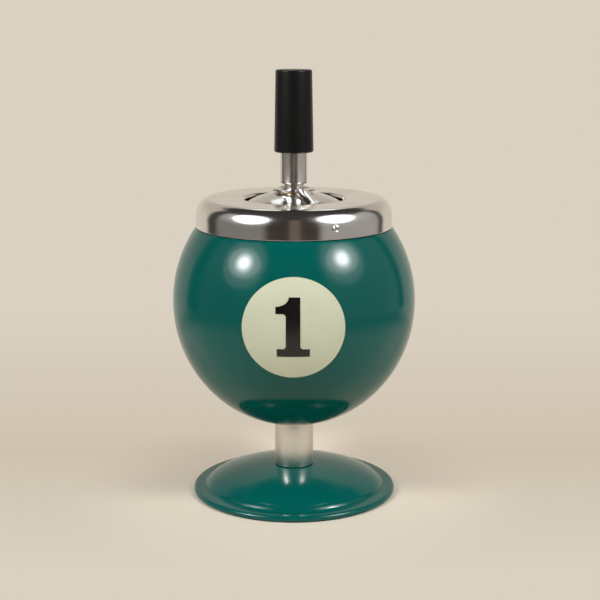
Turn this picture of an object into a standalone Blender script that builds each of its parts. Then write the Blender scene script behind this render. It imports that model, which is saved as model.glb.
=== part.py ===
"""Push-down spinning ashtray in the shape of a numbered pool ball on a pedestal foot.

Units are metres and +Z is up. The origin is under the centre of the foot, and the figure faces -Y.
Everything that turns or slides does so on the Z axis. An azimuth counts from -Y towards +X.
"""

from math import atan2, cos, hypot, pi, radians, sin, sqrt, tan

import bmesh
import bpy
from mathutils import Matrix, Vector

# Fits
SEAT_GAP = 0.0003
RUN_GAP = 0.0003
SLOT_GAP = 0.0005
DECAL_GAP = 0.00015
CUT_MARGIN = 0.001
MERGE = 0.00001

# Facets
LARGE_STEPS = 40
MEDIUM_STEPS = 24
SMALL_STEPS = 16
HEXAGON_STEPS = 6
DISC_STEPS = 48
BALL_ARC_STEPS = 15
PATCH_ARC_STEPS = 8
DOME_ARC_STEPS = 6
CORNER_STEPS = 4
BEND_STEPS = 3
EDGE_STEPS = 2
SHARP_ANGLE = radians(35)
CHAMFER_ANGLE = radians(60)

# Foot
FOOT_RADIUS = 0.0467
FOOT_SHEET = 0.0012
FOOT_SEAT_HEIGHT = 0.0122
FOOT_FLANGE_HEIGHT = 0.0028
FOOT_FLANGE_WIDTH = 0.0056
FOOT_DOME_OVERHANG = 0.0009
FOOT_TOE_FILLET = 0.003
FOOT_RIM_FILLET = 0.0014
FOOT_RIM_LIFT = 0.0004
PAD_WIDTH = 0.0055
PAD_SIDE_GAP = 0.0006

# Pedestal tube and what clamps it
TUBE_RADIUS = 0.0089
TUBE_WALL = 0.001
TUBE_LENGTH = 0.0206
SEAT_LAND = 0.001
PLUG_LENGTH = 0.006
ROD_RADIUS = 0.003
ROD_PROUD = 0.0014
ROD_CHAMFER = 0.0006
ROD_NUT_FLATS = 0.010
ROD_NUT_HEIGHT = 0.005
ROD_WASHER_RADIUS = 0.009
ROD_WASHER_THICKNESS = 0.0016

# Ball
BALL_RADIUS = 0.055
BALL_HALF_HEIGHT = 0.0573
BALL_WALL = 0.0012
NECK_DROP = 0.003

# Number
DISC_RADIUS = 0.02175
DECAL_THICKNESS = 0.0002
PATCH_MARGIN = 0.002
FIGURE_TOP = 0.01237
FIGURE_BOTTOM = -0.01311
FIGURE_STEM_LEFT = -0.0032
FIGURE_STEM_RIGHT = 0.00284
FIGURE_TOP_LEFT = -0.00199
FIGURE_FLAG_TIP = -0.00753
FIGURE_FLAG_TOP = 0.00848
FIGURE_FLAG_BOTTOM = 0.00544
FIGURE_FOOT_LEFT = -0.00703
FIGURE_FOOT_RIGHT = 0.00684
FIGURE_FOOT_TOP = -0.00978
FIGURE_FILLET = 0.0014

# Lid
LID_RADIUS = 0.0442
LID_SHEET = 0.0008
LID_HEIGHT = 0.0126
LID_SHOULDER = 0.006
LID_SEAM = 0.00035
WINDOW_RADIUS = 0.024
WINDOW_DISH_DEPTH = 0.0014
WINDOW_DISH_WIDTH = 0.003
WINDOW_DISH_STEPS = 4
BRIDGE_AZIMUTH = radians(20)
BRIDGE_WIDTH = 0.0058
BRIDGE_REACH = 0.0012
BRIDGE_SINK = 0.0002
HUB_RADIUS = 0.0095
HUB_RISE = 0.0047
HUB_ARM_ANGLE = radians(50)

# Rivets
RIVET_AZIMUTH = radians(24.2)
RIVET_HEIGHT = 0.0046
RIVET_HEAD_RADIUS = 0.0017
RIVET_HEAD_THICKNESS = 0.0006
RIVET_SHANK_RADIUS = 0.001
RIVET_HOLE_RADIUS = 0.0006
RIVET_HOLE_DEPTH = 0.0012
RIVET_TAIL_THICKNESS = 0.0006

# Stirrup that carries the mechanism under the lid
STIRRUP_WIDTH = 0.010
STIRRUP_SHEET = 0.0012
STIRRUP_BEND = 0.0012
STIRRUP_SIDE_GAP = 0.0018
TAB_SKIRT_GAP = 0.0008
TAB_DROP = 0.0025

# Plunger
STROKE = 0.014
STROKE_SPARE = 0.001
STEM_RADIUS = 0.0061
STEM_END_FILLET = 0.001
STEM_END_LAND = 0.0001
STEM_HUB_GAP = 0.0008
NECK_STEP = 0.0011
JOURNAL_WALL = 0.0013
CLIP_DEPTH = 0.0006
CLIP_THICKNESS = 0.0008
CLIP_WIDTH = 0.0022
CLIP_MOUTH = 0.0042
STEM_TAIL = 0.001
HANDLE_LENGTH = 0.0364
HANDLE_RADIUS_TOP = 0.0081
HANDLE_RADIUS_BOTTOM = 0.0088
HANDLE_EDGE = 0.0006
HANDLE_CROWN = 0.0042

# Rotor and its drive
ROTOR_DOME_RADIUS = 0.0524
ROTOR_SHEET = 0.0008
ROTOR_OVERLAP = 0.002
ROTOR_LIP_GAP = 0.0004
ROTOR_LAND_RADIUS = 0.0086
BUSH_RADIUS = 0.008
BUSH_PROUD = 0.0004
BUSH_HEAD = 0.0032
BUSH_SPIGOT_WALL = 0.0011
BUSH_CUP_WALL = 0.0014
PLATE_THICKNESS = 0.0008
PLATE_DROP = 0.0012
PLATE_INSET = 0.0008
SPINDLE_WIDTH = 0.005
SPINDLE_THICKNESS = 0.0015
SPINDLE_LEAD = 0.0285
SPINDLE_ENGAGED = 0.004
SPINDLE_CUTS = 29
SPINDLE_SINK = 0.0005
COLLAR_RADIUS = 0.0042
COLLAR_HEIGHT = 0.002
TENON_RADIUS = 0.002
TENON_PROUD = 0.001
SPINDLE_NUT_FLATS = 0.007
SPINDLE_NUT_HEIGHT = 0.0032
SPINDLE_WASHER_RADIUS = 0.0045
SPINDLE_WASHER_THICKNESS = 0.0008

# Return spring
WIRE_RADIUS = 0.0005
SPRING_TURNS = 5.5
SPRING_POINTS_PER_TURN = 10
THRUST_WASHER_THICKNESS = 0.0008
SPRING_SEAT_THICKNESS = 0.0008
SPRING_SEAT_MARGIN = 0.0008

# Heights and radii that follow, from the floor up
pad_top = FOOT_FLANGE_HEIGHT - FOOT_SHEET - SEAT_GAP
seat_radius = TUBE_RADIUS + SEAT_LAND
tube_bottom = FOOT_SEAT_HEIGHT + SEAT_GAP
tube_top = tube_bottom + TUBE_LENGTH
ball_seat = tube_top + SEAT_GAP
rod_hole_radius = ROD_RADIUS + RUN_GAP
foot_washer_top = FOOT_SEAT_HEIGHT - FOOT_SHEET - SEAT_GAP
foot_nut_top = foot_washer_top - ROD_WASHER_THICKNESS - SEAT_GAP
bowl_washer_bottom = ball_seat + BALL_WALL + SEAT_GAP
bowl_nut_bottom = bowl_washer_bottom + ROD_WASHER_THICKNESS + SEAT_GAP
rod_bottom = foot_nut_top - ROD_NUT_HEIGHT - ROD_PROUD
rod_top = bowl_nut_bottom + ROD_NUT_HEIGHT + ROD_PROUD
ball_centre = ball_seat + BALL_HALF_HEIGHT * sqrt(1 - (seat_radius / BALL_RADIUS) ** 2)
ledge = ball_centre + BALL_HALF_HEIGHT * sqrt(1 - (LID_RADIUS / BALL_RADIUS) ** 2)

# Lid and stirrup
skirt_bottom = ledge + LID_SEAM
lid_top = skirt_bottom + LID_HEIGHT
lip_top = lid_top - WINDOW_DISH_DEPTH
hub_top = lid_top + HUB_RISE
hub_hole_radius = STEM_RADIUS + RUN_GAP
tab_outer = LID_RADIUS - LID_SHEET - TAB_SKIRT_GAP
tab_inner = tab_outer - STIRRUP_SHEET
rivet_z = skirt_bottom + RIVET_HEIGHT
rivet_tail_end = tab_inner - SEAT_GAP - RIVET_TAIL_THICKNESS
neck_radius = rivet_tail_end - 2 * RUN_GAP
shelf_bottom = rivet_z + RIVET_HEAD_RADIUS + SEAT_GAP + STIRRUP_BEND - STIRRUP_SHEET / 2
neck_top = shelf_bottom - SEAT_GAP
rotor_radius = WINDOW_RADIUS + ROTOR_OVERLAP
leg_inner = rotor_radius + STIRRUP_SIDE_GAP

# Rotor, stem and drive, from the top down
dome_centre = lip_top - LID_SHEET - ROTOR_LIP_GAP - sqrt(ROTOR_DOME_RADIUS**2 - WINDOW_RADIUS**2)
land_top = dome_centre + sqrt(ROTOR_DOME_RADIUS**2 - ROTOR_LAND_RADIUS**2)
stem_end = hub_top + STEM_HUB_GAP
handle_bottom = stem_end + STROKE + STROKE_SPARE
handle_top = handle_bottom + HANDLE_LENGTH
stem_bore_radius = hypot(SPINDLE_WIDTH, SPINDLE_THICKNESS) / 2 + RUN_GAP
journal_radius = stem_bore_radius + JOURNAL_WALL
bush_bore_radius = journal_radius + RUN_GAP
bush_spigot_radius = bush_bore_radius + BUSH_SPIGOT_WALL
bush_cup_radius = BUSH_RADIUS - BUSH_CUP_WALL
bush_top = land_top + BUSH_PROUD
journal_top = bush_top + SEAT_GAP
bush_flange_top = land_top - ROTOR_SHEET - SEAT_GAP
cup_top = bush_top - BUSH_HEAD
clip_top = cup_top - SEAT_GAP
clip_bottom = clip_top - CLIP_THICKNESS
stem_bottom = clip_bottom - SEAT_GAP - STEM_TAIL
plate_top = stem_bottom - PLATE_DROP
plate_bottom = plate_top - PLATE_THICKNESS
plate_middle = (plate_top + plate_bottom) / 2
bush_bottom = plate_bottom - PLATE_INSET
thrust_top = bush_bottom - SEAT_GAP
thrust_bottom = thrust_top - THRUST_WASHER_THICKNESS
spring_top = thrust_bottom - SEAT_GAP
spring_solid = 2 * WIRE_RADIUS * (SPRING_TURNS + 1)
spring_bottom = spring_top - STROKE - spring_solid - SEAT_GAP
spring_mean_radius = BUSH_RADIUS - BUSH_CUP_WALL / 2
spring_seat_top = spring_bottom - SEAT_GAP
spring_seat_bottom = spring_seat_top - SPRING_SEAT_THICKNESS
floor_top = spring_seat_bottom - SEAT_GAP
floor_bottom = floor_top - STIRRUP_SHEET
collar_bottom = spring_seat_top + SEAT_GAP
collar_top = collar_bottom + COLLAR_HEIGHT
spindle_top = stem_bottom + SPINDLE_ENGAGED
spindle_washer_top = floor_bottom - SEAT_GAP
spindle_nut_top = spindle_washer_top - SPINDLE_WASHER_THICKNESS - SEAT_GAP
tenon_bottom = spindle_nut_top - SPINDLE_NUT_HEIGHT - TENON_PROUD
tenon_hole_radius = TENON_RADIUS + RUN_GAP


def rounded(corners, closed=False, segments=CORNER_STEPS):
    """Points of an outline whose corners (x, y, radius) are rounded by arcs."""
    points = []
    last = len(corners) - 1
    for index, (x, y, radius) in enumerate(corners):
        corner = Vector((x, y))
        if radius == 0 or (not closed and index in (0, last)):
            points.append((x, y))
            continue
        before = (Vector(corners[index - 1][:2]) - corner).normalized()
        after = (Vector(corners[(index + 1) % len(corners)][:2]) - corner).normalized()
        half = before.angle(after) / 2
        centre = corner + (before + after).normalized() * radius / sin(half)
        start = corner + before * radius / tan(half) - centre
        end = corner + after * radius / tan(half) - centre
        first = atan2(start.y, start.x)
        turn = (atan2(end.y, end.x) - first + pi) % (2 * pi) - pi
        points += arc(centre, (radius, radius), first, first + turn, segments)
    return points


def arc(centre, radii, start, end, segments):
    """Points on an ellipse's arc, from one angle to another."""
    angles = [start + (end - start) * step / segments for step in range(segments + 1)]
    return [(centre[0] + radii[0] * cos(a), centre[1] + radii[1] * sin(a)) for a in angles]


def ring(inner, outer, bottom, top):
    """Closed profile of a plain ring, down its outer side first."""
    return [(inner, top), (outer, top), (outer, bottom), (inner, bottom)]


def finish(name, colour, roughness, metallic):
    """Plain Principled material, with its colour given as sRGB values from 0 to 255."""
    material = bpy.data.materials.new(name)
    material.use_nodes = True
    shader = material.node_tree.nodes["Principled BSDF"]
    linear = [((value / 255 + 0.055) / 1.055) ** 2.4 for value in colour]
    shader.inputs["Base Color"].default_value = (*linear, 1)
    shader.inputs["Roughness"].default_value = roughness
    shader.inputs["Metallic"].default_value = metallic
    return material


def placed(name, data, group, material=None):
    """New object in a collection, with a material of its own where it is a piece."""
    piece = bpy.data.objects.new(name, data)
    group.objects.link(piece)
    if material:
        data.materials.append(finish(f"{name}_finish", *material))
    return piece


def turned(name, profile, group, material=None, steps=MEDIUM_STEPS, closed=False, sheet=0):
    """Profile (radius, z) turned round Z, with a sheet's thickness inside it where one is given."""
    mesh = bpy.data.meshes.new(name)
    edges = [(index, index + 1) for index in range(len(profile) - 1)]
    if closed:
        edges.append((len(profile) - 1, 0))
    mesh.from_pydata([(radius, 0, z) for radius, z in profile], edges, [])
    piece = placed(name, mesh, group, material)
    turn = piece.modifiers.new("turn", "SCREW")
    turn.steps = steps
    turn.render_steps = steps
    turn.use_merge_vertices = True
    turn.merge_threshold = MERGE
    if sheet:
        wall = piece.modifiers.new("wall", "SOLIDIFY")
        wall.thickness = sheet
        wall.offset = -1
        wall.use_even_offset = True
    return piece


def rod(name, radius, bottom, top, group, material=None, steps=SMALL_STEPS, chamfer=0):
    """Upright round or hexagon bar, with its ends chamfered where asked."""
    mesh = bpy.data.meshes.new(name)
    shape = bmesh.new()
    bmesh.ops.create_cone(
        shape,
        cap_ends=True,
        segments=steps,
        radius1=radius,
        radius2=radius,
        depth=top - bottom,
        matrix=Matrix.Translation((0, 0, (bottom + top) / 2)),
    )
    shape.to_mesh(mesh)
    shape.free()
    mesh.shade_smooth()
    mesh.set_sharp_from_angle(angle=SHARP_ANGLE)
    piece = placed(name, mesh, group, material)
    if chamfer:
        edge = piece.modifiers.new("chamfer", "BEVEL")
        edge.width = chamfer
        edge.segments = 1
        edge.angle_limit = CHAMFER_ANGLE
    return piece


def box(name, size, centre, group):
    """Box of a size about a centre."""
    mesh = bpy.data.meshes.new(name)
    shape = bmesh.new()
    place = Matrix.Translation(centre) @ Matrix.Diagonal((*size, 1))
    bmesh.ops.create_cube(shape, size=1, matrix=place)
    shape.to_mesh(mesh)
    shape.free()
    return placed(name, mesh, group)


def extruded(name, outline, depth, group, stand=Matrix()):
    """Flat outline with a depth, half of it to each side, made a mesh where stand puts it."""
    curve = bpy.data.curves.new(f"{name}_outline", "CURVE")
    curve.dimensions = "2D"
    curve.fill_mode = "BOTH"
    curve.extrude = depth / 2
    spline = curve.splines.new("POLY")
    spline.points.add(len(outline) - 1)
    for point, (x, y) in zip(spline.points, outline):
        point.co = (x, y, 0, 1)
    spline.use_cyclic_u = True
    drawn = placed(f"{name}_outline", curve, group)
    drawn.matrix_world = stand
    bpy.context.view_layer.update()
    graph = bpy.context.evaluated_depsgraph_get()
    mesh = bpy.data.meshes.new_from_object(drawn.evaluated_get(graph))
    shape = bmesh.new()
    shape.from_mesh(mesh)
    bmesh.ops.remove_doubles(shape, verts=shape.verts, dist=MERGE)
    shape.to_mesh(mesh)
    shape.free()
    piece = placed(name, mesh, group)
    piece.matrix_world = drawn.matrix_world
    bpy.data.objects.remove(drawn)
    return piece


def combine(piece, other, operation="DIFFERENCE"):
    """Boolean of a piece with a cutter, which is then hidden."""
    step = piece.modifiers.new(other.name, "BOOLEAN")
    step.object = other
    step.operation = operation
    step.solver = "EXACT"
    other.hide_render = True
    other.display_type = "WIRE"


def radial(azimuth):
    """Matrix that turns local +Z outwards along an azimuth, at a rivet's height."""
    outwards = Vector((sin(azimuth), -cos(azimuth), 0))
    return Matrix.Translation((0, 0, rivet_z)) @ outwards.to_track_quat("Z", "X").to_matrix().to_4x4()


def dome_arc(centre_z, radius, inner, outer, segments):
    """Arc of a dome about the axis, from its inner radius out to its outer one."""
    start = atan2(sqrt(radius**2 - inner**2), inner)
    end = atan2(sqrt(radius**2 - outer**2), outer)
    return arc((0, centre_z), (radius, radius), start, end, segments)


GREEN = ((0, 88, 78), 0.28, 0.0)
CREAM = ((205, 203, 170), 0.4, 0.0)
BLACK_PRINT = ((22, 22, 20), 0.4, 0.0)
CHROME = ((214, 210, 205), 0.08, 1.0)
SATIN_NICKEL = ((188, 180, 170), 0.32, 1.0)
ZINC = ((170, 172, 174), 0.4, 1.0)
SPRING_STEEL = ((120, 122, 126), 0.35, 1.0)
BRASS = ((190, 160, 95), 0.35, 1.0)
BLACK_PLASTIC = ((26, 26, 25), 0.38, 0.0)
WHITE_NYLON = ((225, 222, 212), 0.5, 0.0)
BLACK_FOAM = ((32, 32, 32), 0.9, 0.0)


def build_foot(parts):
    """Domed foot with a flat flange and a turned-down rim, and the pad ring under it."""
    toe_radius = FOOT_RADIUS - FOOT_FLANGE_WIDTH
    half_width = toe_radius + FOOT_DOME_OVERHANG
    seat_share = sqrt(1 - (seat_radius / half_width) ** 2)
    toe_share = sqrt(1 - (toe_radius / half_width) ** 2)
    half_height = (FOOT_SEAT_HEIGHT - FOOT_FLANGE_HEIGHT) / (seat_share - toe_share)
    centre_z = FOOT_FLANGE_HEIGHT - half_height * toe_share
    start = atan2(seat_share, seat_radius / half_width)
    end = atan2(toe_share, toe_radius / half_width)
    dome = arc((0, centre_z), (half_width, half_height), start, end, DOME_ARC_STEPS)
    corners = [(*point, 0) for point in dome[:-1]]
    corners += [
        (*dome[-1], FOOT_TOE_FILLET),
        (FOOT_RADIUS, FOOT_FLANGE_HEIGHT, FOOT_RIM_FILLET),
        (FOOT_RADIUS, FOOT_RIM_LIFT, 0),
    ]
    profile = [(rod_hole_radius, FOOT_SEAT_HEIGHT)] + rounded(corners, segments=BEND_STEPS)
    turned("foot_plate", profile, parts, GREEN, LARGE_STEPS, sheet=FOOT_SHEET)
    pad_outer = FOOT_RADIUS - FOOT_SHEET - PAD_SIDE_GAP
    pad = ring(pad_outer - PAD_WIDTH, pad_outer, 0, pad_top)
    turned("foot_pad", pad, parts, BLACK_FOAM, LARGE_STEPS, closed=True)


def build_pedestal(parts, cutters):
    """Tube between foot and ball, its centring plugs, and the tie rod with its nuts and washers."""
    bore = TUBE_RADIUS - TUBE_WALL
    tube = ring(bore, TUBE_RADIUS, tube_bottom, tube_top)
    turned("pedestal_tube", tube, parts, SATIN_NICKEL, LARGE_STEPS, closed=True)
    for name, bottom in (("lower_plug", tube_bottom), ("upper_plug", tube_top - PLUG_LENGTH)):
        plug = ring(rod_hole_radius, bore - RUN_GAP, bottom, bottom + PLUG_LENGTH)
        turned(name, plug, parts, WHITE_NYLON, closed=True)
    rod("tie_rod", ROD_RADIUS, rod_bottom, rod_top, parts, ZINC, chamfer=ROD_CHAMFER)
    foot_washer_bottom = foot_washer_top - ROD_WASHER_THICKNESS
    for name, bottom in (("foot_washer", foot_washer_bottom), ("bowl_washer", bowl_washer_bottom)):
        washer = ring(rod_hole_radius, ROD_WASHER_RADIUS, bottom, bottom + ROD_WASHER_THICKNESS)
        turned(name, washer, parts, ZINC, closed=True)
    foot_nut_bottom = foot_nut_top - ROD_NUT_HEIGHT
    for name, bottom in (("foot_nut", foot_nut_bottom), ("bowl_nut", bowl_nut_bottom)):
        build_nut(name, ROD_NUT_FLATS, rod_hole_radius, bottom, bottom + ROD_NUT_HEIGHT, parts, cutters)


def build_nut(name, flats, hole_radius, bottom, top, parts, cutters):
    """Hexagon nut with a plain hole."""
    corner_radius = flats / 2 / cos(pi / HEXAGON_STEPS)
    nut = rod(name, corner_radius, bottom, top, parts, ZINC, HEXAGON_STEPS)
    combine(nut, rod(f"{name}_hole", hole_radius, bottom - CUT_MARGIN, top + CUT_MARGIN, cutters))


def ball_arc(offset, start_z, end_z, segments):
    """Arc down the ball's side at an offset outside it, between two heights."""
    radii = (BALL_RADIUS + offset, BALL_HALF_HEIGHT + offset)
    start, end = [sin_to_angle((z - ball_centre) / radii[1]) for z in (start_z, end_z)]
    return arc((0, ball_centre), radii, start, end, segments)


def sin_to_angle(value):
    """Angle between -90 and 90 degrees that has this sine."""
    return atan2(value, sqrt(1 - value**2))


def build_ball(parts):
    """Hollow ball with a flat seat below and a ledge for the lid above, and the neck in its mouth."""
    profile = [(neck_radius + SEAT_GAP, ledge)]
    profile += ball_arc(0, ledge, ball_seat, BALL_ARC_STEPS)
    profile.append((rod_hole_radius, ball_seat))
    turned("ball_shell", profile, parts, GREEN, LARGE_STEPS, sheet=BALL_WALL)
    neck = ring(neck_radius - BALL_WALL, neck_radius, ledge - NECK_DROP, neck_top)
    turned("ball_neck", neck, parts, GREEN, LARGE_STEPS, closed=True)


def build_number(parts, cutters):
    """Cream disc and black figure, each a thin patch that follows the ball's front."""
    facing = Matrix.Translation((0, -BALL_RADIUS, ball_centre)) @ Matrix.Rotation(pi / 2, 4, "X")
    reach = BALL_RADIUS
    circle = arc((0, 0), (DISC_RADIUS, DISC_RADIUS), 0, 2 * pi, DISC_STEPS)[:-1]
    disc_cut = extruded("disc_cut", circle, reach, cutters, facing)
    flag_radii = (FIGURE_TOP_LEFT - FIGURE_FLAG_TIP, FIGURE_TOP - FIGURE_FLAG_TOP)
    flag_curve = arc((FIGURE_FLAG_TIP, FIGURE_TOP), flag_radii, 0, -pi / 2, DOME_ARC_STEPS)
    corners = [(*point, 0) for point in flag_curve]
    corners += [
        (FIGURE_FLAG_TIP, FIGURE_FLAG_BOTTOM, 0),
        (FIGURE_STEM_LEFT, FIGURE_FLAG_BOTTOM, FIGURE_FILLET),
        (FIGURE_STEM_LEFT, FIGURE_FOOT_TOP, FIGURE_FILLET),
        (FIGURE_FOOT_LEFT, FIGURE_FOOT_TOP, 0),
        (FIGURE_FOOT_LEFT, FIGURE_BOTTOM, 0),
        (FIGURE_FOOT_RIGHT, FIGURE_BOTTOM, 0),
        (FIGURE_FOOT_RIGHT, FIGURE_FOOT_TOP, 0),
        (FIGURE_STEM_RIGHT, FIGURE_FOOT_TOP, FIGURE_FILLET),
        (FIGURE_STEM_RIGHT, FIGURE_TOP, 0),
    ]
    figure_cut = extruded("figure_cut", rounded(corners, closed=True), reach, cutters, facing)
    low = ball_centre - DISC_RADIUS - PATCH_MARGIN
    high = ball_centre + DISC_RADIUS + PATCH_MARGIN
    offset = DECAL_GAP
    patches = (("number_disc", disc_cut, CREAM), ("number_figure", figure_cut, BLACK_PRINT))
    for name, cut, material in patches:
        band = ball_arc(offset + DECAL_THICKNESS, high, low, PATCH_ARC_STEPS)
        band += ball_arc(offset, low, high, PATCH_ARC_STEPS)
        combine(turned(name, band, parts, material, LARGE_STEPS, closed=True), cut, "INTERSECT")
        offset += DECAL_THICKNESS + DECAL_GAP


def build_lid(parts, cutters):
    """Lid with skirt, shoulder and dished window edge, crossed by a bridge with the stem's hub."""
    dish_outer = WINDOW_RADIUS + WINDOW_DISH_WIDTH
    dish = []
    for step in range(WINDOW_DISH_STEPS):
        share = step / WINDOW_DISH_STEPS
        rise = WINDOW_DISH_DEPTH * sin(share * pi / 2)
        dish.append((WINDOW_RADIUS + WINDOW_DISH_WIDTH * share, lip_top + rise))
    shoulder = (LID_RADIUS - LID_SHOULDER, lid_top - LID_SHOULDER)
    profile = dish + [(dish_outer, lid_top)]
    profile += arc(shoulder, (LID_SHOULDER, LID_SHOULDER), pi / 2, 0, DOME_ARC_STEPS)
    profile.append((LID_RADIUS, skirt_bottom))
    lid = turned("lid_cap", profile, parts, CHROME, LARGE_STEPS, sheet=LID_SHEET)
    root_radius = WINDOW_RADIUS + BRIDGE_REACH
    root_top = lip_top + WINDOW_DISH_DEPTH * sin(BRIDGE_REACH / WINDOW_DISH_WIDTH * pi / 2) - BRIDGE_SINK
    slope = [(hub_hole_radius, hub_top), (HUB_RADIUS, hub_top), (root_radius, root_top)]
    bridge = turned("bridge", slope, cutters, steps=LARGE_STEPS, sheet=LID_SHEET - 2 * BRIDGE_SINK)
    depth = hub_top - lip_top + 2 * LID_SHEET + 2 * CUT_MARGIN
    arm = extruded("bridge_arm", bridge_outline(root_radius), depth, cutters, bridge_stand())
    combine(bridge, arm, "INTERSECT")
    combine(lid, bridge, "UNION")
    for name, azimuth in (("front", RIVET_AZIMUTH), ("back", RIVET_AZIMUTH + pi)):
        combine(lid, rivet_hole(f"skirt_hole_{name}", azimuth, cutters))


def rivet_hole(name, azimuth, cutters):
    """Cutter for a rivet's hole, from outside the skirt in to the neck."""
    hole = rod(name, RIVET_SHANK_RADIUS + RUN_GAP, neck_radius, LID_RADIUS + CUT_MARGIN, cutters)
    hole.matrix_world = radial(azimuth)
    return hole


def bridge_stand():
    """Matrix that lays local +X along the bridge, at the middle of its rise."""
    middle = Matrix.Translation((0, 0, (lip_top + hub_top) / 2))
    return middle @ Matrix.Rotation(BRIDGE_AZIMUTH - pi / 2, 4, "Z")


def bridge_outline(root_radius):
    """Plan of the bridge: a round hub with an arm to each side, drawn in towards its roots."""
    half = BRIDGE_WIDTH / 2
    end = root_radius * cos(pi / LARGE_STEPS) - MERGE
    side = arc((0, 0), (HUB_RADIUS, HUB_RADIUS), HUB_ARM_ANGLE, pi - HUB_ARM_ANGLE, DOME_ARC_STEPS)
    side += [(-WINDOW_RADIUS, half), (-end, half)]
    other_side = [(-end, -half), (-WINDOW_RADIUS, -half)]
    other_side += [(x, -y) for x, y in reversed(side[: DOME_ARC_STEPS + 1])]
    other_side += [(WINDOW_RADIUS, -half), (end, -half)]
    return side + other_side + [(end, half), (WINDOW_RADIUS, half)]


def build_rivets(parts):
    """Hollow rivets that hold the stirrup's tabs to the skirt."""
    head = LID_RADIUS + SEAT_GAP
    face = head + RIVET_HEAD_THICKNESS
    tail = tab_inner - SEAT_GAP
    profile = [
        (0, face - RIVET_HOLE_DEPTH),
        (RIVET_HOLE_RADIUS, face - RIVET_HOLE_DEPTH),
        (RIVET_HOLE_RADIUS, face),
        (RIVET_HEAD_RADIUS - RIVET_HEAD_THICKNESS / 2, face),
        (RIVET_HEAD_RADIUS, face - RIVET_HEAD_THICKNESS / 2),
        (RIVET_HEAD_RADIUS, head),
        (RIVET_SHANK_RADIUS, head),
        (RIVET_SHANK_RADIUS, tail),
        (RIVET_HEAD_RADIUS, tail),
        (RIVET_HEAD_RADIUS, rivet_tail_end),
        (0, rivet_tail_end),
    ]
    for name, azimuth in (("rivet_front", RIVET_AZIMUTH), ("rivet_back", RIVET_AZIMUTH + pi)):
        turned(name, profile, parts, CHROME, SMALL_STEPS).matrix_world = radial(azimuth)


def build_stirrup(parts, cutters):
    """Bent strip: a tab riveted in the skirt, a shelf over the neck, a leg down and a floor, both ways."""
    tab = tab_outer - STIRRUP_SHEET / 2
    leg = leg_inner + STIRRUP_SHEET / 2
    shelf = shelf_bottom + STIRRUP_SHEET / 2
    floor = (floor_top + floor_bottom) / 2
    half = [
        (tab, rivet_z - TAB_DROP, 0),
        (tab, shelf, STIRRUP_BEND),
        (leg, shelf, STIRRUP_BEND),
        (leg, floor, STIRRUP_BEND),
    ]
    path = rounded(half + [(-x, z, radius) for x, z, radius in reversed(half)], segments=BEND_STEPS)
    mesh = bpy.data.meshes.new("stirrup")
    shape = bmesh.new()
    line = [shape.verts.new((x, -STIRRUP_WIDTH / 2, z)) for x, z in path]
    edges = [shape.edges.new(pair) for pair in zip(line, line[1:])]
    swept = bmesh.ops.extrude_edge_only(shape, edges=edges)["geom"]
    moved = [item for item in swept if isinstance(item, bmesh.types.BMVert)]
    bmesh.ops.translate(shape, verts=moved, vec=(0, STIRRUP_WIDTH, 0))
    bmesh.ops.recalc_face_normals(shape, faces=shape.faces)
    shape.to_mesh(mesh)
    shape.free()
    stirrup = placed("stirrup", mesh, parts, ZINC)
    stirrup.rotation_euler.z = RIVET_AZIMUTH - pi / 2
    wall = stirrup.modifiers.new("wall", "SOLIDIFY")
    wall.thickness = STIRRUP_SHEET
    wall.offset = 0
    wall.use_even_offset = True
    for name, azimuth in (("front", RIVET_AZIMUTH), ("back", RIVET_AZIMUTH + pi)):
        combine(stirrup, rivet_hole(f"tab_hole_{name}", azimuth, cutters))
    below = floor_bottom - CUT_MARGIN
    above = floor_top + CUT_MARGIN
    combine(stirrup, rod("tenon_hole", tenon_hole_radius, below, above, cutters))


def build_spindle(parts, cutters):
    """Strip twisted about Z, in line with X at the drive plate, on a collar with a tenon, and its nut."""
    strip_bottom = collar_top - SPINDLE_SINK
    length = spindle_top - strip_bottom
    mesh = bpy.data.meshes.new("spindle")
    shape = bmesh.new()
    centre = Matrix.Translation((0, 0, (spindle_top + strip_bottom) / 2 - plate_middle))
    size = Matrix.Diagonal((SPINDLE_WIDTH, SPINDLE_THICKNESS, length, 1))
    bmesh.ops.create_cube(shape, size=1, matrix=centre @ size)
    upright = []
    for edge in shape.edges:
        low, high = edge.verts
        if abs(low.co.z - high.co.z) > length / 2:
            upright.append(edge)
    bmesh.ops.subdivide_edges(shape, edges=upright, cuts=SPINDLE_CUTS, use_grid_fill=True)
    shape.to_mesh(mesh)
    shape.free()
    spindle = placed("spindle", mesh, parts, ZINC)
    spindle.location.z = plate_middle
    twist = spindle.modifiers.new("twist", "SIMPLE_DEFORM")
    twist.deform_method = "TWIST"
    twist.deform_axis = "Z"
    twist.angle = 2 * pi * length / SPINDLE_LEAD
    foot = turned(
        "spindle_foot",
        [
            (0, collar_top),
            (COLLAR_RADIUS, collar_top),
            (COLLAR_RADIUS, collar_bottom),
            (TENON_RADIUS, collar_bottom),
            (TENON_RADIUS, tenon_bottom),
            (0, tenon_bottom),
        ],
        cutters,
        steps=SMALL_STEPS,
    )
    combine(spindle, foot, "UNION")
    washer_bottom = spindle_washer_top - SPINDLE_WASHER_THICKNESS
    washer = ring(tenon_hole_radius, SPINDLE_WASHER_RADIUS, washer_bottom, spindle_washer_top)
    turned("spindle_washer", washer, parts, ZINC, SMALL_STEPS, closed=True)
    nut_span = (spindle_nut_top - SPINDLE_NUT_HEIGHT, spindle_nut_top)
    build_nut("spindle_nut", SPINDLE_NUT_FLATS, tenon_hole_radius, *nut_span, parts, cutters)


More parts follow.
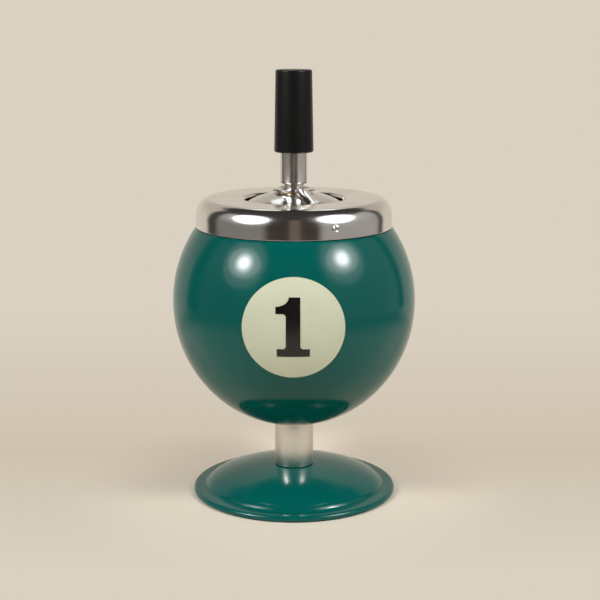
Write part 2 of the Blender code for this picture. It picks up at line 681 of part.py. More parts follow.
def build_spring(parts):
    """Return spring, one wound wire, with the seat below it and the thrust washer above it."""
    count = round(SPRING_TURNS * SPRING_POINTS_PER_TURN)
    low = spring_bottom + WIRE_RADIUS
    high = spring_top - WIRE_RADIUS
    points = []
    for step in range(count + 1):
        angle = 2 * pi * step / SPRING_POINTS_PER_TURN
        z = low + (high - low) * step / count
        points.append(Vector((spring_mean_radius * cos(angle), spring_mean_radius * sin(angle), z)))
    curve = bpy.data.curves.new("return_spring", "CURVE")
    curve.dimensions = "3D"
    curve.bevel_depth = WIRE_RADIUS
    curve.bevel_resolution = 1
    curve.use_fill_caps = True
    spline = curve.splines.new("POLY")
    spline.points.add(count)
    for point, place in zip(spline.points, points):
        point.co = (*place, 1)
    placed("return_spring", curve, parts, SPRING_STEEL)
    apart = SPRING_POINTS_PER_TURN // 2
    gaps = [(a - b).length for i, a in enumerate(points) for b in points[i + apart :]]
    print(f"return_spring: least gap to itself {1000 * (min(gaps) - 2 * WIRE_RADIUS):.2f} mm")
    washer = ring(bush_cup_radius, BUSH_RADIUS, thrust_bottom, thrust_top)
    turned("thrust_washer", washer, parts, WHITE_NYLON, closed=True)
    seat_outer = spring_mean_radius + WIRE_RADIUS + SPRING_SEAT_MARGIN
    seat = ring(tenon_hole_radius, seat_outer, spring_seat_bottom, spring_seat_top)
    turned("spring_seat", seat, parts, ZINC, closed=True)


def build_plunger(parts, cutters):
    """Stem with its neck, journal and bore, the clip in its groove, and the handle on its top."""
    neck = STEM_RADIUS - NECK_STEP
    groove = journal_radius - CLIP_DEPTH
    bore_top = handle_top - HANDLE_CROWN
    stem_top = bore_top - SEAT_GAP
    corners = [
        (stem_bore_radius, stem_top, 0),
        (STEM_RADIUS, stem_top, 0),
        (STEM_RADIUS, stem_end, min(STEM_END_FILLET, NECK_STEP - STEM_END_LAND)),
        (neck, stem_end, 0),
        (neck, journal_top, 0),
        (journal_radius, journal_top, 0),
        (journal_radius, clip_top + SEAT_GAP, 0),
        (groove, clip_top + SEAT_GAP, 0),
        (groove, clip_bottom - SEAT_GAP, 0),
        (journal_radius, clip_bottom - SEAT_GAP, 0),
        (journal_radius, stem_bottom, 0),
        (stem_bore_radius, stem_bottom, 0),
    ]
    turned("stem", rounded(corners, closed=True), parts, SATIN_NICKEL, closed=True)
    clip_inner = groove + RUN_GAP
    clip_outer = clip_inner + CLIP_WIDTH
    clip_ring = ring(clip_inner, clip_outer, clip_bottom, clip_top)
    clip = turned("stem_clip", clip_ring, parts, SPRING_STEEL, closed=True)
    mouth_reach = clip_outer + CUT_MARGIN
    mouth = (mouth_reach, CLIP_MOUTH, CLIP_THICKNESS + 2 * CUT_MARGIN)
    middle = (mouth_reach / 2, 0, (clip_bottom + clip_top) / 2)
    combine(clip, box("clip_mouth", mouth, middle, cutters))
    bore = STEM_RADIUS + RUN_GAP
    corners = [
        (0, handle_top, 0),
        (HANDLE_RADIUS_TOP, handle_top, HANDLE_EDGE),
        (HANDLE_RADIUS_BOTTOM, handle_bottom, HANDLE_EDGE),
        (bore, handle_bottom, 0),
        (bore, bore_top, 0),
        (0, bore_top, 0),
    ]
    turned("handle", rounded(corners, segments=EDGE_STEPS), parts, BLACK_PLASTIC)


def build_rotor(parts, cutters):
    """Domed rotor, the bush that runs on the stem's journal, and the slotted plate that the strip turns."""
    hole = bush_spigot_radius + RUN_GAP
    profile = [(hole, land_top)]
    profile += dome_arc(dome_centre, ROTOR_DOME_RADIUS, ROTOR_LAND_RADIUS, rotor_radius, DOME_ARC_STEPS)
    turned("rotor", profile, parts, CHROME, LARGE_STEPS, sheet=ROTOR_SHEET)
    bush = [
        (bush_bore_radius, bush_top),
        (bush_spigot_radius, bush_top),
        (bush_spigot_radius, bush_flange_top),
        (BUSH_RADIUS, bush_flange_top),
        (BUSH_RADIUS, bush_bottom),
        (bush_cup_radius, bush_bottom),
        (bush_cup_radius, cup_top),
        (bush_bore_radius, cup_top),
    ]
    turned("rotor_bush", bush, parts, BRASS, closed=True)
    plate_radius = bush_cup_radius - RUN_GAP
    plate = rod("drive_plate", plate_radius, plate_bottom, plate_top, parts, ZINC, MEDIUM_STEPS)
    slot_depth = PLATE_THICKNESS + 2 * CUT_MARGIN
    slot = (SPINDLE_WIDTH + 2 * RUN_GAP, SPINDLE_THICKNESS + 2 * SLOT_GAP, slot_depth)
    combine(plate, box("drive_slot", slot, (0, 0, plate_middle), cutters))


def main():
    """Clears the scene and builds every piece."""
    for old in list(bpy.data.objects):
        bpy.data.objects.remove(old, do_unlink=True)
    parts = bpy.data.collections.new("pool_ball_ashtray")
    cutters = bpy.data.collections.new("cutters")
    for group in (parts, cutters):
        bpy.context.scene.collection.children.link(group)
    build_foot(parts)
    build_pedestal(parts, cutters)
    build_ball(parts)
    build_number(parts, cutters)
    build_lid(parts, cutters)
    build_rivets(parts)
    build_stirrup(parts, cutters)
    build_spindle(parts, cutters)
    build_spring(parts)
    build_plunger(parts, cutters)
    build_rotor(parts, cutters)


main()
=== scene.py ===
"""Looks of a push-down spinning ashtray shaped as a numbered pool ball on a pedestal foot.

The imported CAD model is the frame. Pieces that show are modelled again here, finer, in the place of
their CAD nodes. Small pieces of the mechanism are copies of their CAD meshes with rounded edges,
and the two plugs inside the tube keep theirs. Sizes are metres.
"""

import logging
from dataclasses import dataclass
from enum import Enum
from functools import cache
from math import acos, asin, atan2, cos, dist, hypot, pi, radians, sin, sqrt, tan, tau
from typing import Callable, ClassVar, Optional, Sequence, Union

import bpy
from mathutils import Matrix, Vector


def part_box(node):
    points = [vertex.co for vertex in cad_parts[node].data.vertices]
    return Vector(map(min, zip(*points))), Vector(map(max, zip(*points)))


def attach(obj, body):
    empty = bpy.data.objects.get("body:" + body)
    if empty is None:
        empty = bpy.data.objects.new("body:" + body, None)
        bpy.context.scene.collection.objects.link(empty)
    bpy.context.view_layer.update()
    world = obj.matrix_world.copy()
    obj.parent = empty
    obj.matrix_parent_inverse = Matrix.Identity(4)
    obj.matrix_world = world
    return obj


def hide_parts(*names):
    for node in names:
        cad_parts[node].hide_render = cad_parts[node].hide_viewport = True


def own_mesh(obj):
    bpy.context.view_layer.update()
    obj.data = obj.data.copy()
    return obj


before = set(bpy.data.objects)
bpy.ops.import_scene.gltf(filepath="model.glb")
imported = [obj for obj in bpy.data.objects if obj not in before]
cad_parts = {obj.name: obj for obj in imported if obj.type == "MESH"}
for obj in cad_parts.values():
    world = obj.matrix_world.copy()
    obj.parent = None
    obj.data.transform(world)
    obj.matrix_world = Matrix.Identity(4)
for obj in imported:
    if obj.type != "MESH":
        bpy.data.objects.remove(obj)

LOG = logging.getLogger("ashtray")

Piece = bpy.types.Object
Point = tuple[float, float]
Corner = tuple[float, float, float]
Colour = tuple[float, float, float]
Stops = Sequence[tuple[float, Colour]]
Key = Union[str, int]

START_SIZE = 0.001
MERGE = 1e-6
CUT_MARGIN = 0.001
GAP = 0.0003
ROD_HOLE = 0.0033
SEAT_LAND = 0.001
LID_STEPS = 360
BALL_STEPS = 256
RIM_STEPS = 192
ROD_STEPS = 96
SMALL_STEPS = 48
CORNER_STEPS = 8
EDGE_STEPS = 4
HEXAGON = 6
SMOOTH_ANGLE = radians(32)
SHEET_ANGLE = radians(40)
WIRE_ANGLE = radians(60)


class Body(Enum):
    """CAD bodies that pieces ride on."""

    STAND = "stand"
    LID = "lid"
    PLUNGER = "plunger"
    SPINNER = "spinner"


class Slot(Enum):
    """Material slots of the record."""

    GREEN = "green_enamel"
    CREAM = "cream_enamel"
    BLACK = "black_enamel"
    CHROME = "chrome"
    NICKEL = "satin_nickel"
    ZINC = "zinc"
    SPRING = "spring_steel"
    BRASS = "brass"
    PLASTIC = "black_plastic"
    NYLON = "white_nylon"
    RUBBER = "black_rubber"


def arc(centre: Point, radii: Point, start: float, end: float, steps: int) -> list[Point]:
    """Points on an ellipse's arc.

    Args:
        centre: Middle of the ellipse.
        radii: Its half width and half height.
        start: Angle of the first point.
        end: Angle of the last point.
        steps: Number of chords.

    Returns:
        The points, both ends included.
    """
    angles = [start + (end - start) * step / steps for step in range(steps + 1)]
    return [(centre[0] + radii[0] * cos(a), centre[1] + radii[1] * sin(a)) for a in angles]


def rounded(
    corners: Sequence[Corner], closed: bool = False, steps: int = CORNER_STEPS
) -> list[Point]:
    """Outline whose corners are rounded.

    Args:
        corners: Each corner's two coordinates and its radius.
        closed: Whether the last corner joins the first.
        steps: Chords in each rounded corner.

    Returns:
        The outline's points.
    """
    points: list[Point] = []
    last = len(corners) - 1
    for index, (x, y, radius) in enumerate(corners):
        corner = Vector((x, y))
        if radius == 0 or (not closed and index in (0, last)):
            points.append((x, y))
            continue
        before = (Vector(corners[index - 1][:2]) - corner).normalized()
        after = (Vector(corners[(index + 1) % len(corners)][:2]) - corner).normalized()
        half = before.angle(after) / 2
        centre = corner + (before + after).normalized() * radius / sin(half)
        start = corner + before * radius / tan(half) - centre
        end = corner + after * radius / tan(half) - centre
        first = atan2(start.y, start.x)
        turn = (atan2(end.y, end.x) - first + pi) % tau - pi
        points += arc((centre.x, centre.y), (radius, radius), first, first + turn, steps)
    return points


def ring(inner: float, outer: float, bottom: float, top: float, edge: float) -> list[Point]:
    """Closed profile of a ring with rounded edges.

    Args:
        inner: Bore radius.
        outer: Outer radius.
        bottom: Lower face's height.
        top: Upper face's height.
        edge: Radius of its four edges.

    Returns:
        The profile's points, the first one repeated at the end.
    """
    corners = [(inner, top, edge), (outer, top, edge), (outer, bottom, edge), (inner, bottom, edge)]
    profile = rounded(corners, closed=True, steps=EDGE_STEPS)
    return profile + profile[:1]


def share_of(value: float, start: float, end: float) -> float:
    """How far a value is from start to end, held between 0 and 1."""
    return min(1.0, max(0.0, (value - start) / (end - start)))


@cache
def heights(node: str) -> Point:
    """Lowest and highest z of a CAD node at rest."""
    low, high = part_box(node)
    return low.z, high.z


@cache
def radius_of(node: str) -> float:
    """Outer radius of a CAD node that is turned about the axis."""
    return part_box(node)[1].x


def seat_radius() -> float:
    """Radius of the flat seat round the tube, on the foot and under the ball."""
    return radius_of("pedestal_tube") + SEAT_LAND


class Bench:
    """Modelling steps, made with Blender's operators as by hand."""

    @staticmethod
    def mode(name: str) -> None:
        """Changes to object mode or edit mode."""
        bpy.ops.object.mode_set(mode=name)

    @staticmethod
    def clear() -> None:
        """Leaves edit mode and deselects everything."""
        if bpy.context.object and bpy.context.object.mode != "OBJECT":
            Bench.mode("OBJECT")
        bpy.ops.object.select_all(action="DESELECT")

    @staticmethod
    def pick(piece: Piece) -> None:
        """Makes one piece the only selected and active object."""
        Bench.clear()
        piece.select_set(True)
        bpy.context.view_layer.objects.active = piece

    @staticmethod
    def edit(piece: Piece) -> None:
        """Opens a piece in edit mode, with all of it selected."""
        Bench.pick(piece)
        Bench.mode("EDIT")
        bpy.ops.mesh.select_mode(type="VERT")
        bpy.ops.mesh.select_all(action="SELECT")

    @staticmethod
    def choose(piece: Piece, test: Callable[[Vector], bool]) -> None:
        """Selects the faces whose centres pass a test, and stays in edit mode."""
        bpy.ops.mesh.select_all(action="DESELECT")
        Bench.mode("OBJECT")
        for face in piece.data.polygons:
            face.select = test(face.center)
        Bench.mode("EDIT")

    @staticmethod
    def chain(name: str, points: Sequence[Sequence[float]]) -> Piece:
        """Draws a chain of edges, and stays in edit mode with all of it selected.

        Args:
            name: Name of the new piece.
            points: Places of the chain's vertices.

        Returns:
            The new piece.
        """
        Bench.clear()
        bpy.ops.mesh.primitive_plane_add(size=START_SIZE)
        piece = bpy.context.active_object
        piece.name = name
        piece.data.name = name
        Bench.edit(piece)
        bpy.ops.mesh.merge(type="CENTER")
        bpy.ops.transform.translate(value=points[0])
        for here, there in zip(points, points[1:]):
            step = Vector(there) - Vector(here)
            bpy.ops.mesh.extrude_region_move(TRANSFORM_OT_translate={"value": step})
        bpy.ops.mesh.select_all(action="SELECT")
        return piece

    @staticmethod
    def close() -> None:
        """Merges doubles and points all faces outwards, then leaves edit mode."""
        bpy.ops.mesh.select_all(action="SELECT")
        bpy.ops.mesh.remove_doubles(threshold=MERGE)
        bpy.ops.mesh.normals_make_consistent(inside=False)
        Bench.mode("OBJECT")

    @staticmethod
    def turn(name: str, profile: Sequence[Point], steps: int = RIM_STEPS) -> Piece:
        """Spins a profile all round the Z axis.

        Args:
            name: Name of the new piece.
            profile: Radius and height of each point.
            steps: Facets round the axis.

        Returns:
            The new piece, in object mode.
        """
        piece = Bench.chain(name, [(radius, 0.0, z) for radius, z in profile])
        bpy.ops.mesh.spin(steps=steps, angle=tau, center=(0, 0, 0), axis=(0, 0, 1))
        Bench.close()
        return piece

    @staticmethod
    def apply(piece: Piece, kind: str, **settings: object) -> None:
        """Adds a modifier with its settings and applies it."""
        modifier = piece.modifiers.new(kind.lower(), kind)
        for key, value in settings.items():
            setattr(modifier, key, value)
        Bench.pick(piece)
        bpy.ops.object.modifier_apply(modifier=modifier.name)

    @staticmethod
    def bevel(piece: Piece, edge: float, segments: int, angle: float) -> None:
        """Rounds the edges that are sharper than an angle."""
        Bench.apply(
            piece, "BEVEL", width=edge, segments=segments, limit_method="ANGLE", angle_limit=angle
        )

    @staticmethod
    def thicken(piece: Piece, sheet: float, edge: float) -> None:
        """Gives a sheet its thickness on the inner side, and rounds its free edges.

        Args:
            piece: The sheet, its normals outwards.
            sheet: Thickness.
            edge: Radius of the rounded edges.
        """
        Bench.apply(piece, "SOLIDIFY", thickness=sheet, offset=-1.0, use_even_offset=True)
        Bench.bevel(piece, edge, segments=3, angle=radians(50))

    @staticmethod
    def intersect(piece: Piece, other: Piece) -> None:
        """Keeps what a piece shares with another one, which is used up."""
        Bench.apply(piece, "BOOLEAN", object=other, operation="INTERSECT", solver="EXACT")
        bpy.data.objects.remove(other, do_unlink=True)

    @staticmethod
    def place(piece: Piece, matrix: Matrix) -> None:
        """Moves a piece and leaves its place in its mesh."""
        piece.matrix_world = matrix
        Bench.pick(piece)
        bpy.ops.object.transform_apply(location=True, rotation=True, scale=True)


@dataclass(frozen=True)
class Value:
    """A socket whose maths is written as a Python expression."""

    nodes: "Nodes"
    socket: bpy.types.NodeSocket

    def __add__(self, other: "Term") -> "Value":
        """Sum."""
        return self.nodes.maths("ADD", self, other)

    __radd__ = __add__

    def __sub__(self, other: "Term") -> "Value":
        """Difference."""
        return self.nodes.maths("SUBTRACT", self, other)

    def __rsub__(self, other: "Term") -> "Value":
        """Difference from a number."""
        return self.nodes.maths("SUBTRACT", other, self)

    def __mul__(self, other: "Term") -> "Value":
        """Product."""
        return self.nodes.maths("MULTIPLY", self, other)

    __rmul__ = __mul__


Term = Union[Value, float]
Shade = Union[Value, Colour]
Grain = tuple[Value, Value, Value]


@dataclass(frozen=True)
class Nodes:
    """Node tree of a material or of the world."""

    tree: bpy.types.NodeTree

    def make(self, kind: str, inputs: Optional[dict] = None, **settings: object) -> bpy.types.Node:
        """Adds a node.

        Args:
            kind: The node's type, without the start that all shader nodes share.
            inputs: Values or links of its sockets, by name or number.
            settings: Its settings, which are set first, with a ramp's stops as "stops".

        Returns:
            The new node.
        """
        node = self.tree.nodes.new(f"ShaderNode{kind}")
        for key, value in settings.items():
            if key == "stops":
                self.set_stops(node, value)
            else:
                setattr(node, key, value)
        self.feed(node, inputs or {})
        return node

    def set_stops(self, node: bpy.types.Node, stops: Stops) -> None:
        """Sets a colour ramp's stops."""
        elements = node.color_ramp.elements
        while len(elements) < len(stops):
            elements.new(1.0)
        for element, (position, colour) in zip(elements, stops):
            element.position = position
            element.color = (*colour, 1.0)

    def feed(self, node: bpy.types.Node, inputs: dict) -> None:
        """Links or sets a node's sockets."""
        for key, value in inputs.items():
            socket = node.inputs[key]
            if isinstance(value, Value):
                self.tree.links.new(value.socket, socket)
            elif isinstance(value, tuple) and socket.type == "RGBA":
                socket.default_value = (*value, 1.0)
            else:
                socket.default_value = value

    def out(
        self, kind: str, inputs: Optional[dict] = None, output: Key = 0, **settings: object
    ) -> Value:
        """Adds a node and gives one of its outputs."""
        return Value(self, self.make(kind, inputs, **settings).outputs[output])

    def maths(self, operation: str, *terms: Term) -> Value:
        """Math node on values and numbers."""
        return self.out("Math", dict(enumerate(terms)), operation=operation)

    def point(self) -> Value:
        """Place on the piece, in metres."""
        return self.out("TexCoord", output="Object")

    def stretched(self, point: Value, scales: Corner) -> Value:
        """Place, scaled along each axis."""
        return self.out("VectorMath", {0: point, 1: scales}, operation="MULTIPLY")

    def noise(self, point: Value, scale: float, detail: float, rough: float = 0.5) -> Value:
        """Cloudy noise from 0 to 1, with its features about 1 / scale in size."""
        inputs = {"Vector": point, "Scale": scale, "Detail": detail, "Roughness": rough}
        return self.out("TexNoise", inputs)

    def span(self, value: Value, low: float, high: float) -> Value:
        """Smooth step from 0 to 1 as a value goes from low to high."""
        inputs = {"Value": value, 1: low, 2: high}
        return self.out("MapRange", inputs, interpolation_type="SMOOTHSTEP")

    def mix(self, share: Term, first: Shade, second: Shade) -> Value:
        """Colour between two others."""
        return self.out("Mix", {0: share, 6: first, 7: second}, 2, data_type="RGBA")

    def ramp(self, stops: Stops, share: Value) -> Value:
        """Colour of a ramp."""
        return self.out("ValToRGB", {0: share}, stops=stops)

    def bump(self, height: Value, depth: float) -> Value:
        """Normal of a relief of that depth."""
        return self.out("Bump", {"Height": height, "Distance": depth, "Strength": 1.0})

    def seen(self) -> Value:
        """1 for what the camera sees itself, and 0 for light and reflections."""
        return self.out("LightPath", output="Is Camera Ray")


@dataclass(frozen=True)
class Finish:
    """A surface: its colour as linear light, its gloss, the depth of its relief and its tints."""

    name: str
    colour: Colour
    roughness: float
    metallic: float = 0.0
    specular: float = 0.5
    relief: float = 2e-6
    tints: ClassVar[Point] = (0.95, 1.05)

    @cache
    def material(self) -> bpy.types.Material:
        """Material with this finish, made once."""
        material = bpy.data.materials.new(self.name)
        material.use_nodes = True
        nodes = Nodes(material.node_tree)
        share, roughness, height = self.grain(nodes, nodes.point())
        first, second = (self.tint(factor) for factor in self.tints)
        inputs = {
            "Base Color": nodes.mix(share, first, second),
            "Roughness": roughness,
            "Metallic": self.metallic,
            "Specular IOR Level": self.specular,
            "Normal": nodes.bump(height, self.relief),
        }
        nodes.feed(material.node_tree.nodes["Principled BSDF"], inputs)
        return material

    def tint(self, factor: float) -> Colour:
        """The colour, lighter or darker."""
        return tuple(min(1.0, channel * factor) for channel in self.colour)

    def uneven(self, noise: Value, amount: float) -> Value:
        """Roughness that varies by an amount about the finish's own."""
        return self.roughness - amount / 2 + amount * noise

    def grain(self, nodes: Nodes, point: Value) -> Grain:
        """What varies over the piece: the share of the second tint, the roughness, the relief."""
        raise NotImplementedError


@dataclass(frozen=True)
class Enamel(Finish):
    """Sprayed enamel with a faint orange peel and handling haze."""

    relief: float = 4e-6

    def grain(self, nodes: Nodes, point: Value) -> Grain:
        """Colour clouds, haze and peel."""
        haze = nodes.noise(point, scale=30, detail=5, rough=0.6)
        fine = nodes.noise(point, scale=2300, detail=1)
        peel = nodes.noise(point, scale=620, detail=2) + 0.3 * fine
        return nodes.noise(point, scale=38, detail=3), self.uneven(haze, 0.08), peel


@dataclass(frozen=True)
class Print(Finish):
    """Printed colour with a fine tooth."""

    relief: float = 1.2e-6

    def grain(self, nodes: Nodes, point: Value) -> Grain:
        """Colour clouds, haze and tooth."""
        haze = nodes.noise(point, scale=60, detail=4)
        tooth = nodes.noise(point, scale=2600, detail=3)
        return nodes.noise(point, scale=120, detail=4), self.uneven(haze, 0.1), tooth


@dataclass(frozen=True)
class Plate(Finish):
    """Bright plated sheet: slight waves, smears and fine wiping scratches."""

    relief: float = 1.0e-5
    tints: ClassVar[Point] = (1.03, 0.93)

    def grain(self, nodes: Nodes, point: Value) -> Grain:
        """Smears, scratches and waves."""
        smears = nodes.noise(point, scale=75, detail=5, rough=0.62)
        wipes = nodes.noise(nodes.stretched(point, (1.0, 0.06, 0.5)), scale=2600, detail=2)
        dull = 0.05 * nodes.span(smears, 0.45, 0.8)
        marks = 0.04 * nodes.span(wipes, 0.58, 0.8)
        waves = nodes.noise(point, scale=55, detail=1)
        return nodes.span(smears, 0.35, 0.75), self.roughness + dull + marks, waves


@dataclass(frozen=True)
class DrawnMetal(Finish):
    """Satin metal with a fine grain along the piece."""

    relief: float = 1.5e-6
    tints: ClassVar[Point] = (0.93, 1.07)

    def grain(self, nodes: Nodes, point: Value) -> Grain:
        """Small specks, dullness and grain."""
        lines = nodes.noise(nodes.stretched(point, (1.0, 1.0, 0.05)), scale=2800, detail=3)
        specks = nodes.noise(point, scale=1500, detail=3, rough=0.6)
        dull = self.uneven(nodes.noise(point, scale=90, detail=4), 0.12)
        return specks, dull + 0.05 * lines, 0.6 * lines + 0.4 * specks


@dataclass(frozen=True)
class DullPlate(Finish):
    """Dull zinc, brass or steel on the hidden metal parts."""

    relief: float = 2.5e-6
    tints: ClassVar[Point] = (0.85, 1.1)

    def grain(self, nodes: Nodes, point: Value) -> Grain:
        """Stain and grain."""
        stain = nodes.noise(point, scale=160, detail=5, rough=0.6)
        return stain, self.uneven(stain, 0.16), nodes.noise(point, scale=2200, detail=3)


@dataclass(frozen=True)
class Moulded(Finish):
    """Moulded plastic or rubber with a fine tooth."""

    tints: ClassVar[Point] = (0.85, 1.15)

    def grain(self, nodes: Nodes, point: Value) -> Grain:
        """Flow clouds and tooth."""
        clouds = nodes.noise(nodes.stretched(point, (1.0, 1.0, 0.4)), scale=130, detail=4)
        return clouds, self.uneven(clouds, 0.1), nodes.noise(point, scale=1900, detail=3)


FINISHES: dict[Slot, Finish] = {
    Slot.GREEN: Enamel("green_enamel_finish", (0.0002, 0.079, 0.0675), 0.13, specular=0.31),
    Slot.CREAM: Print("cream_enamel_finish", (0.528, 0.546, 0.402), 0.36),
    Slot.BLACK: Print("black_enamel_finish", (0.004, 0.004, 0.0037), 0.24),
    Slot.CHROME: Plate("chrome_finish", (0.80, 0.785, 0.765), 0.14, 1.0),
    Slot.NICKEL: DrawnMetal("satin_nickel_finish", (0.80, 0.765, 0.72), 0.28, 1.0),
    Slot.ZINC: DullPlate("zinc_finish", (0.42, 0.43, 0.44), 0.42, 1.0),
    Slot.SPRING: DullPlate("spring_steel_finish", (0.24, 0.245, 0.255), 0.36, 1.0),
    Slot.BRASS: DullPlate("brass_finish", (0.55, 0.38, 0.14), 0.34, 1.0),
    Slot.PLASTIC: Moulded("black_plastic_finish", (0.005, 0.005, 0.0048), 0.36, specular=0.2),
    Slot.NYLON: Moulded("white_nylon_finish", (0.74, 0.72, 0.65), 0.5),
    Slot.RUBBER: Moulded("black_rubber_finish", (0.016, 0.016, 0.016), 0.85, relief=8e-6),
}
STEM_FINISH = DrawnMetal("stem_nickel_finish", (0.80, 0.765, 0.72), 0.2, 1.0)
ROTOR_FINISH = Plate("rotor_finish", (0.80, 0.795, 0.785), 0.15, 1.0)


@dataclass
class Assembly:
    """A sub-assembly of the ashtray, whose pieces ride on one CAD body."""

    body: ClassVar[Body] = Body.STAND

    def fit(
        self,
        piece: Piece,
        slot: Slot,
        node: str,
        finish: Optional[Finish] = None,
        angle: float = SMOOTH_ANGLE,
    ) -> None:
        """Shades a piece and puts it in the place of its CAD node.

        Args:
            piece: The new piece.
            slot: Slot of its finish.
            node: CAD node that it stands for.
            finish: Finish of its own, where it differs from the slot's.
            angle: Angle between faces up to which they are shaded smooth.
        """
        Bench.pick(piece)
        bpy.ops.object.shade_smooth_by_angle(angle=angle)
        self.dress(piece, finish or FINISHES[slot])
        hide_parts(node)
        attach(piece, self.body.value)
        LOG.info("%s: %d faces on %s", piece.name, len(piece.data.polygons), self.body.value)

    def fit_ring(
        self, name: str, node: str, slot: Slot, bore: float, edge: float, steps: int = RIM_STEPS
    ) -> None:
        """Puts a ring with rounded edges in the place of a CAD ring.

        Args:
            name: Name of the new piece.
            node: CAD node that it stands for.
            slot: Slot of its finish.
            bore: Radius of its hole.
            edge: Radius of its edges.
            steps: Facets round the axis.
        """
        profile = ring(bore, radius_of(node), *heights(node), edge)
        self.fit(Bench.turn(name, profile, steps), slot, node)

    def refine(self, slot: Slot, *nodes: str, edge: float = 0.00015) -> None:
        """Puts copies with rounded edges in the place of CAD nodes.

        Args:
            slot: Slot of their finish.
            nodes: The CAD nodes.
            edge: Radius of the rounded edges.
        """
        for node in nodes:
            piece = bpy.data.objects.new(f"rounded_{node}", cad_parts[node].data.copy())
            bpy.context.collection.objects.link(piece)
            Bench.edit(piece)
            bpy.ops.mesh.remove_doubles(threshold=MERGE)
            Bench.mode("OBJECT")
            Bench.bevel(piece, edge, segments=2, angle=radians(40))
            self.fit(piece, slot, node)

    def keep(self, slot: Slot, *nodes: str) -> None:
        """Gives CAD nodes that stay a finish."""
        for name in nodes:
            self.dress(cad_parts[name], FINISHES[slot])
            LOG.info("%s: CAD mesh kept", name)

    def dress(self, piece: Piece, finish: Finish) -> None:
        """Gives a piece a finish all over."""
        piece.data.materials.clear()
        piece.data.materials.append(finish.material())


@dataclass
class Foot(Assembly):
    """Pressed domed foot with its flange, rim and pad ring."""

    sheet: float = 0.0012
    sheet_edge: float = 0.0004
    flange_height: float = 0.0028
    flange_width: float = 0.0056
    dome_overhang: float = 0.0003
    dome_steps: int = 30
    toe_fillet: float = 0.0018
    toe_clear: float = 0.75
    rim_fillet: float = 0.0014
    seat_fillet: float = 0.003
    pad_width: float = 0.0055
    pad_edge: float = 0.0003

    def build(self) -> None:
        """Models and dresses the foot and its pad."""
        bottom, seat = heights("foot_plate")
        radius = radius_of("foot_plate")
        toe = radius - self.flange_width
        half_width = toe + self.dome_overhang
        start = asin(sqrt(1 - (seat_radius() / half_width) ** 2))
        end = asin(sqrt(1 - (toe / half_width) ** 2))
        half_height = (seat - self.flange_height) / (sin(start) - sin(end))
        centre = self.flange_height - half_height * sin(end)
        dome = arc((0, centre), (half_width, half_height), start, end, self.dome_steps)
        corners = [(ROD_HOLE, seat, 0.0), (*dome[0], self.seat_fillet)]
        # the fillets at both ends of the dome need the room of the points next to them
        reach = self.toe_clear * self.toe_fillet
        corners += [(*point, 0.0) for point in dome[2:-1] if dist(point, dome[-1]) > reach]
        corners += [
            (*dome[-1], self.toe_fillet),
            (radius, self.flange_height, self.rim_fillet),
            (radius, bottom, 0.0),
        ]
        plate = Bench.turn("enamelled_foot", rounded(corners))
        Bench.thicken(plate, self.sheet, self.sheet_edge)
        self.fit(plate, Slot.GREEN, "foot_plate")
        bore = radius_of("foot_pad") - self.pad_width
        self.fit_ring("pad_ring", "foot_pad", Slot.RUBBER, bore, self.pad_edge)


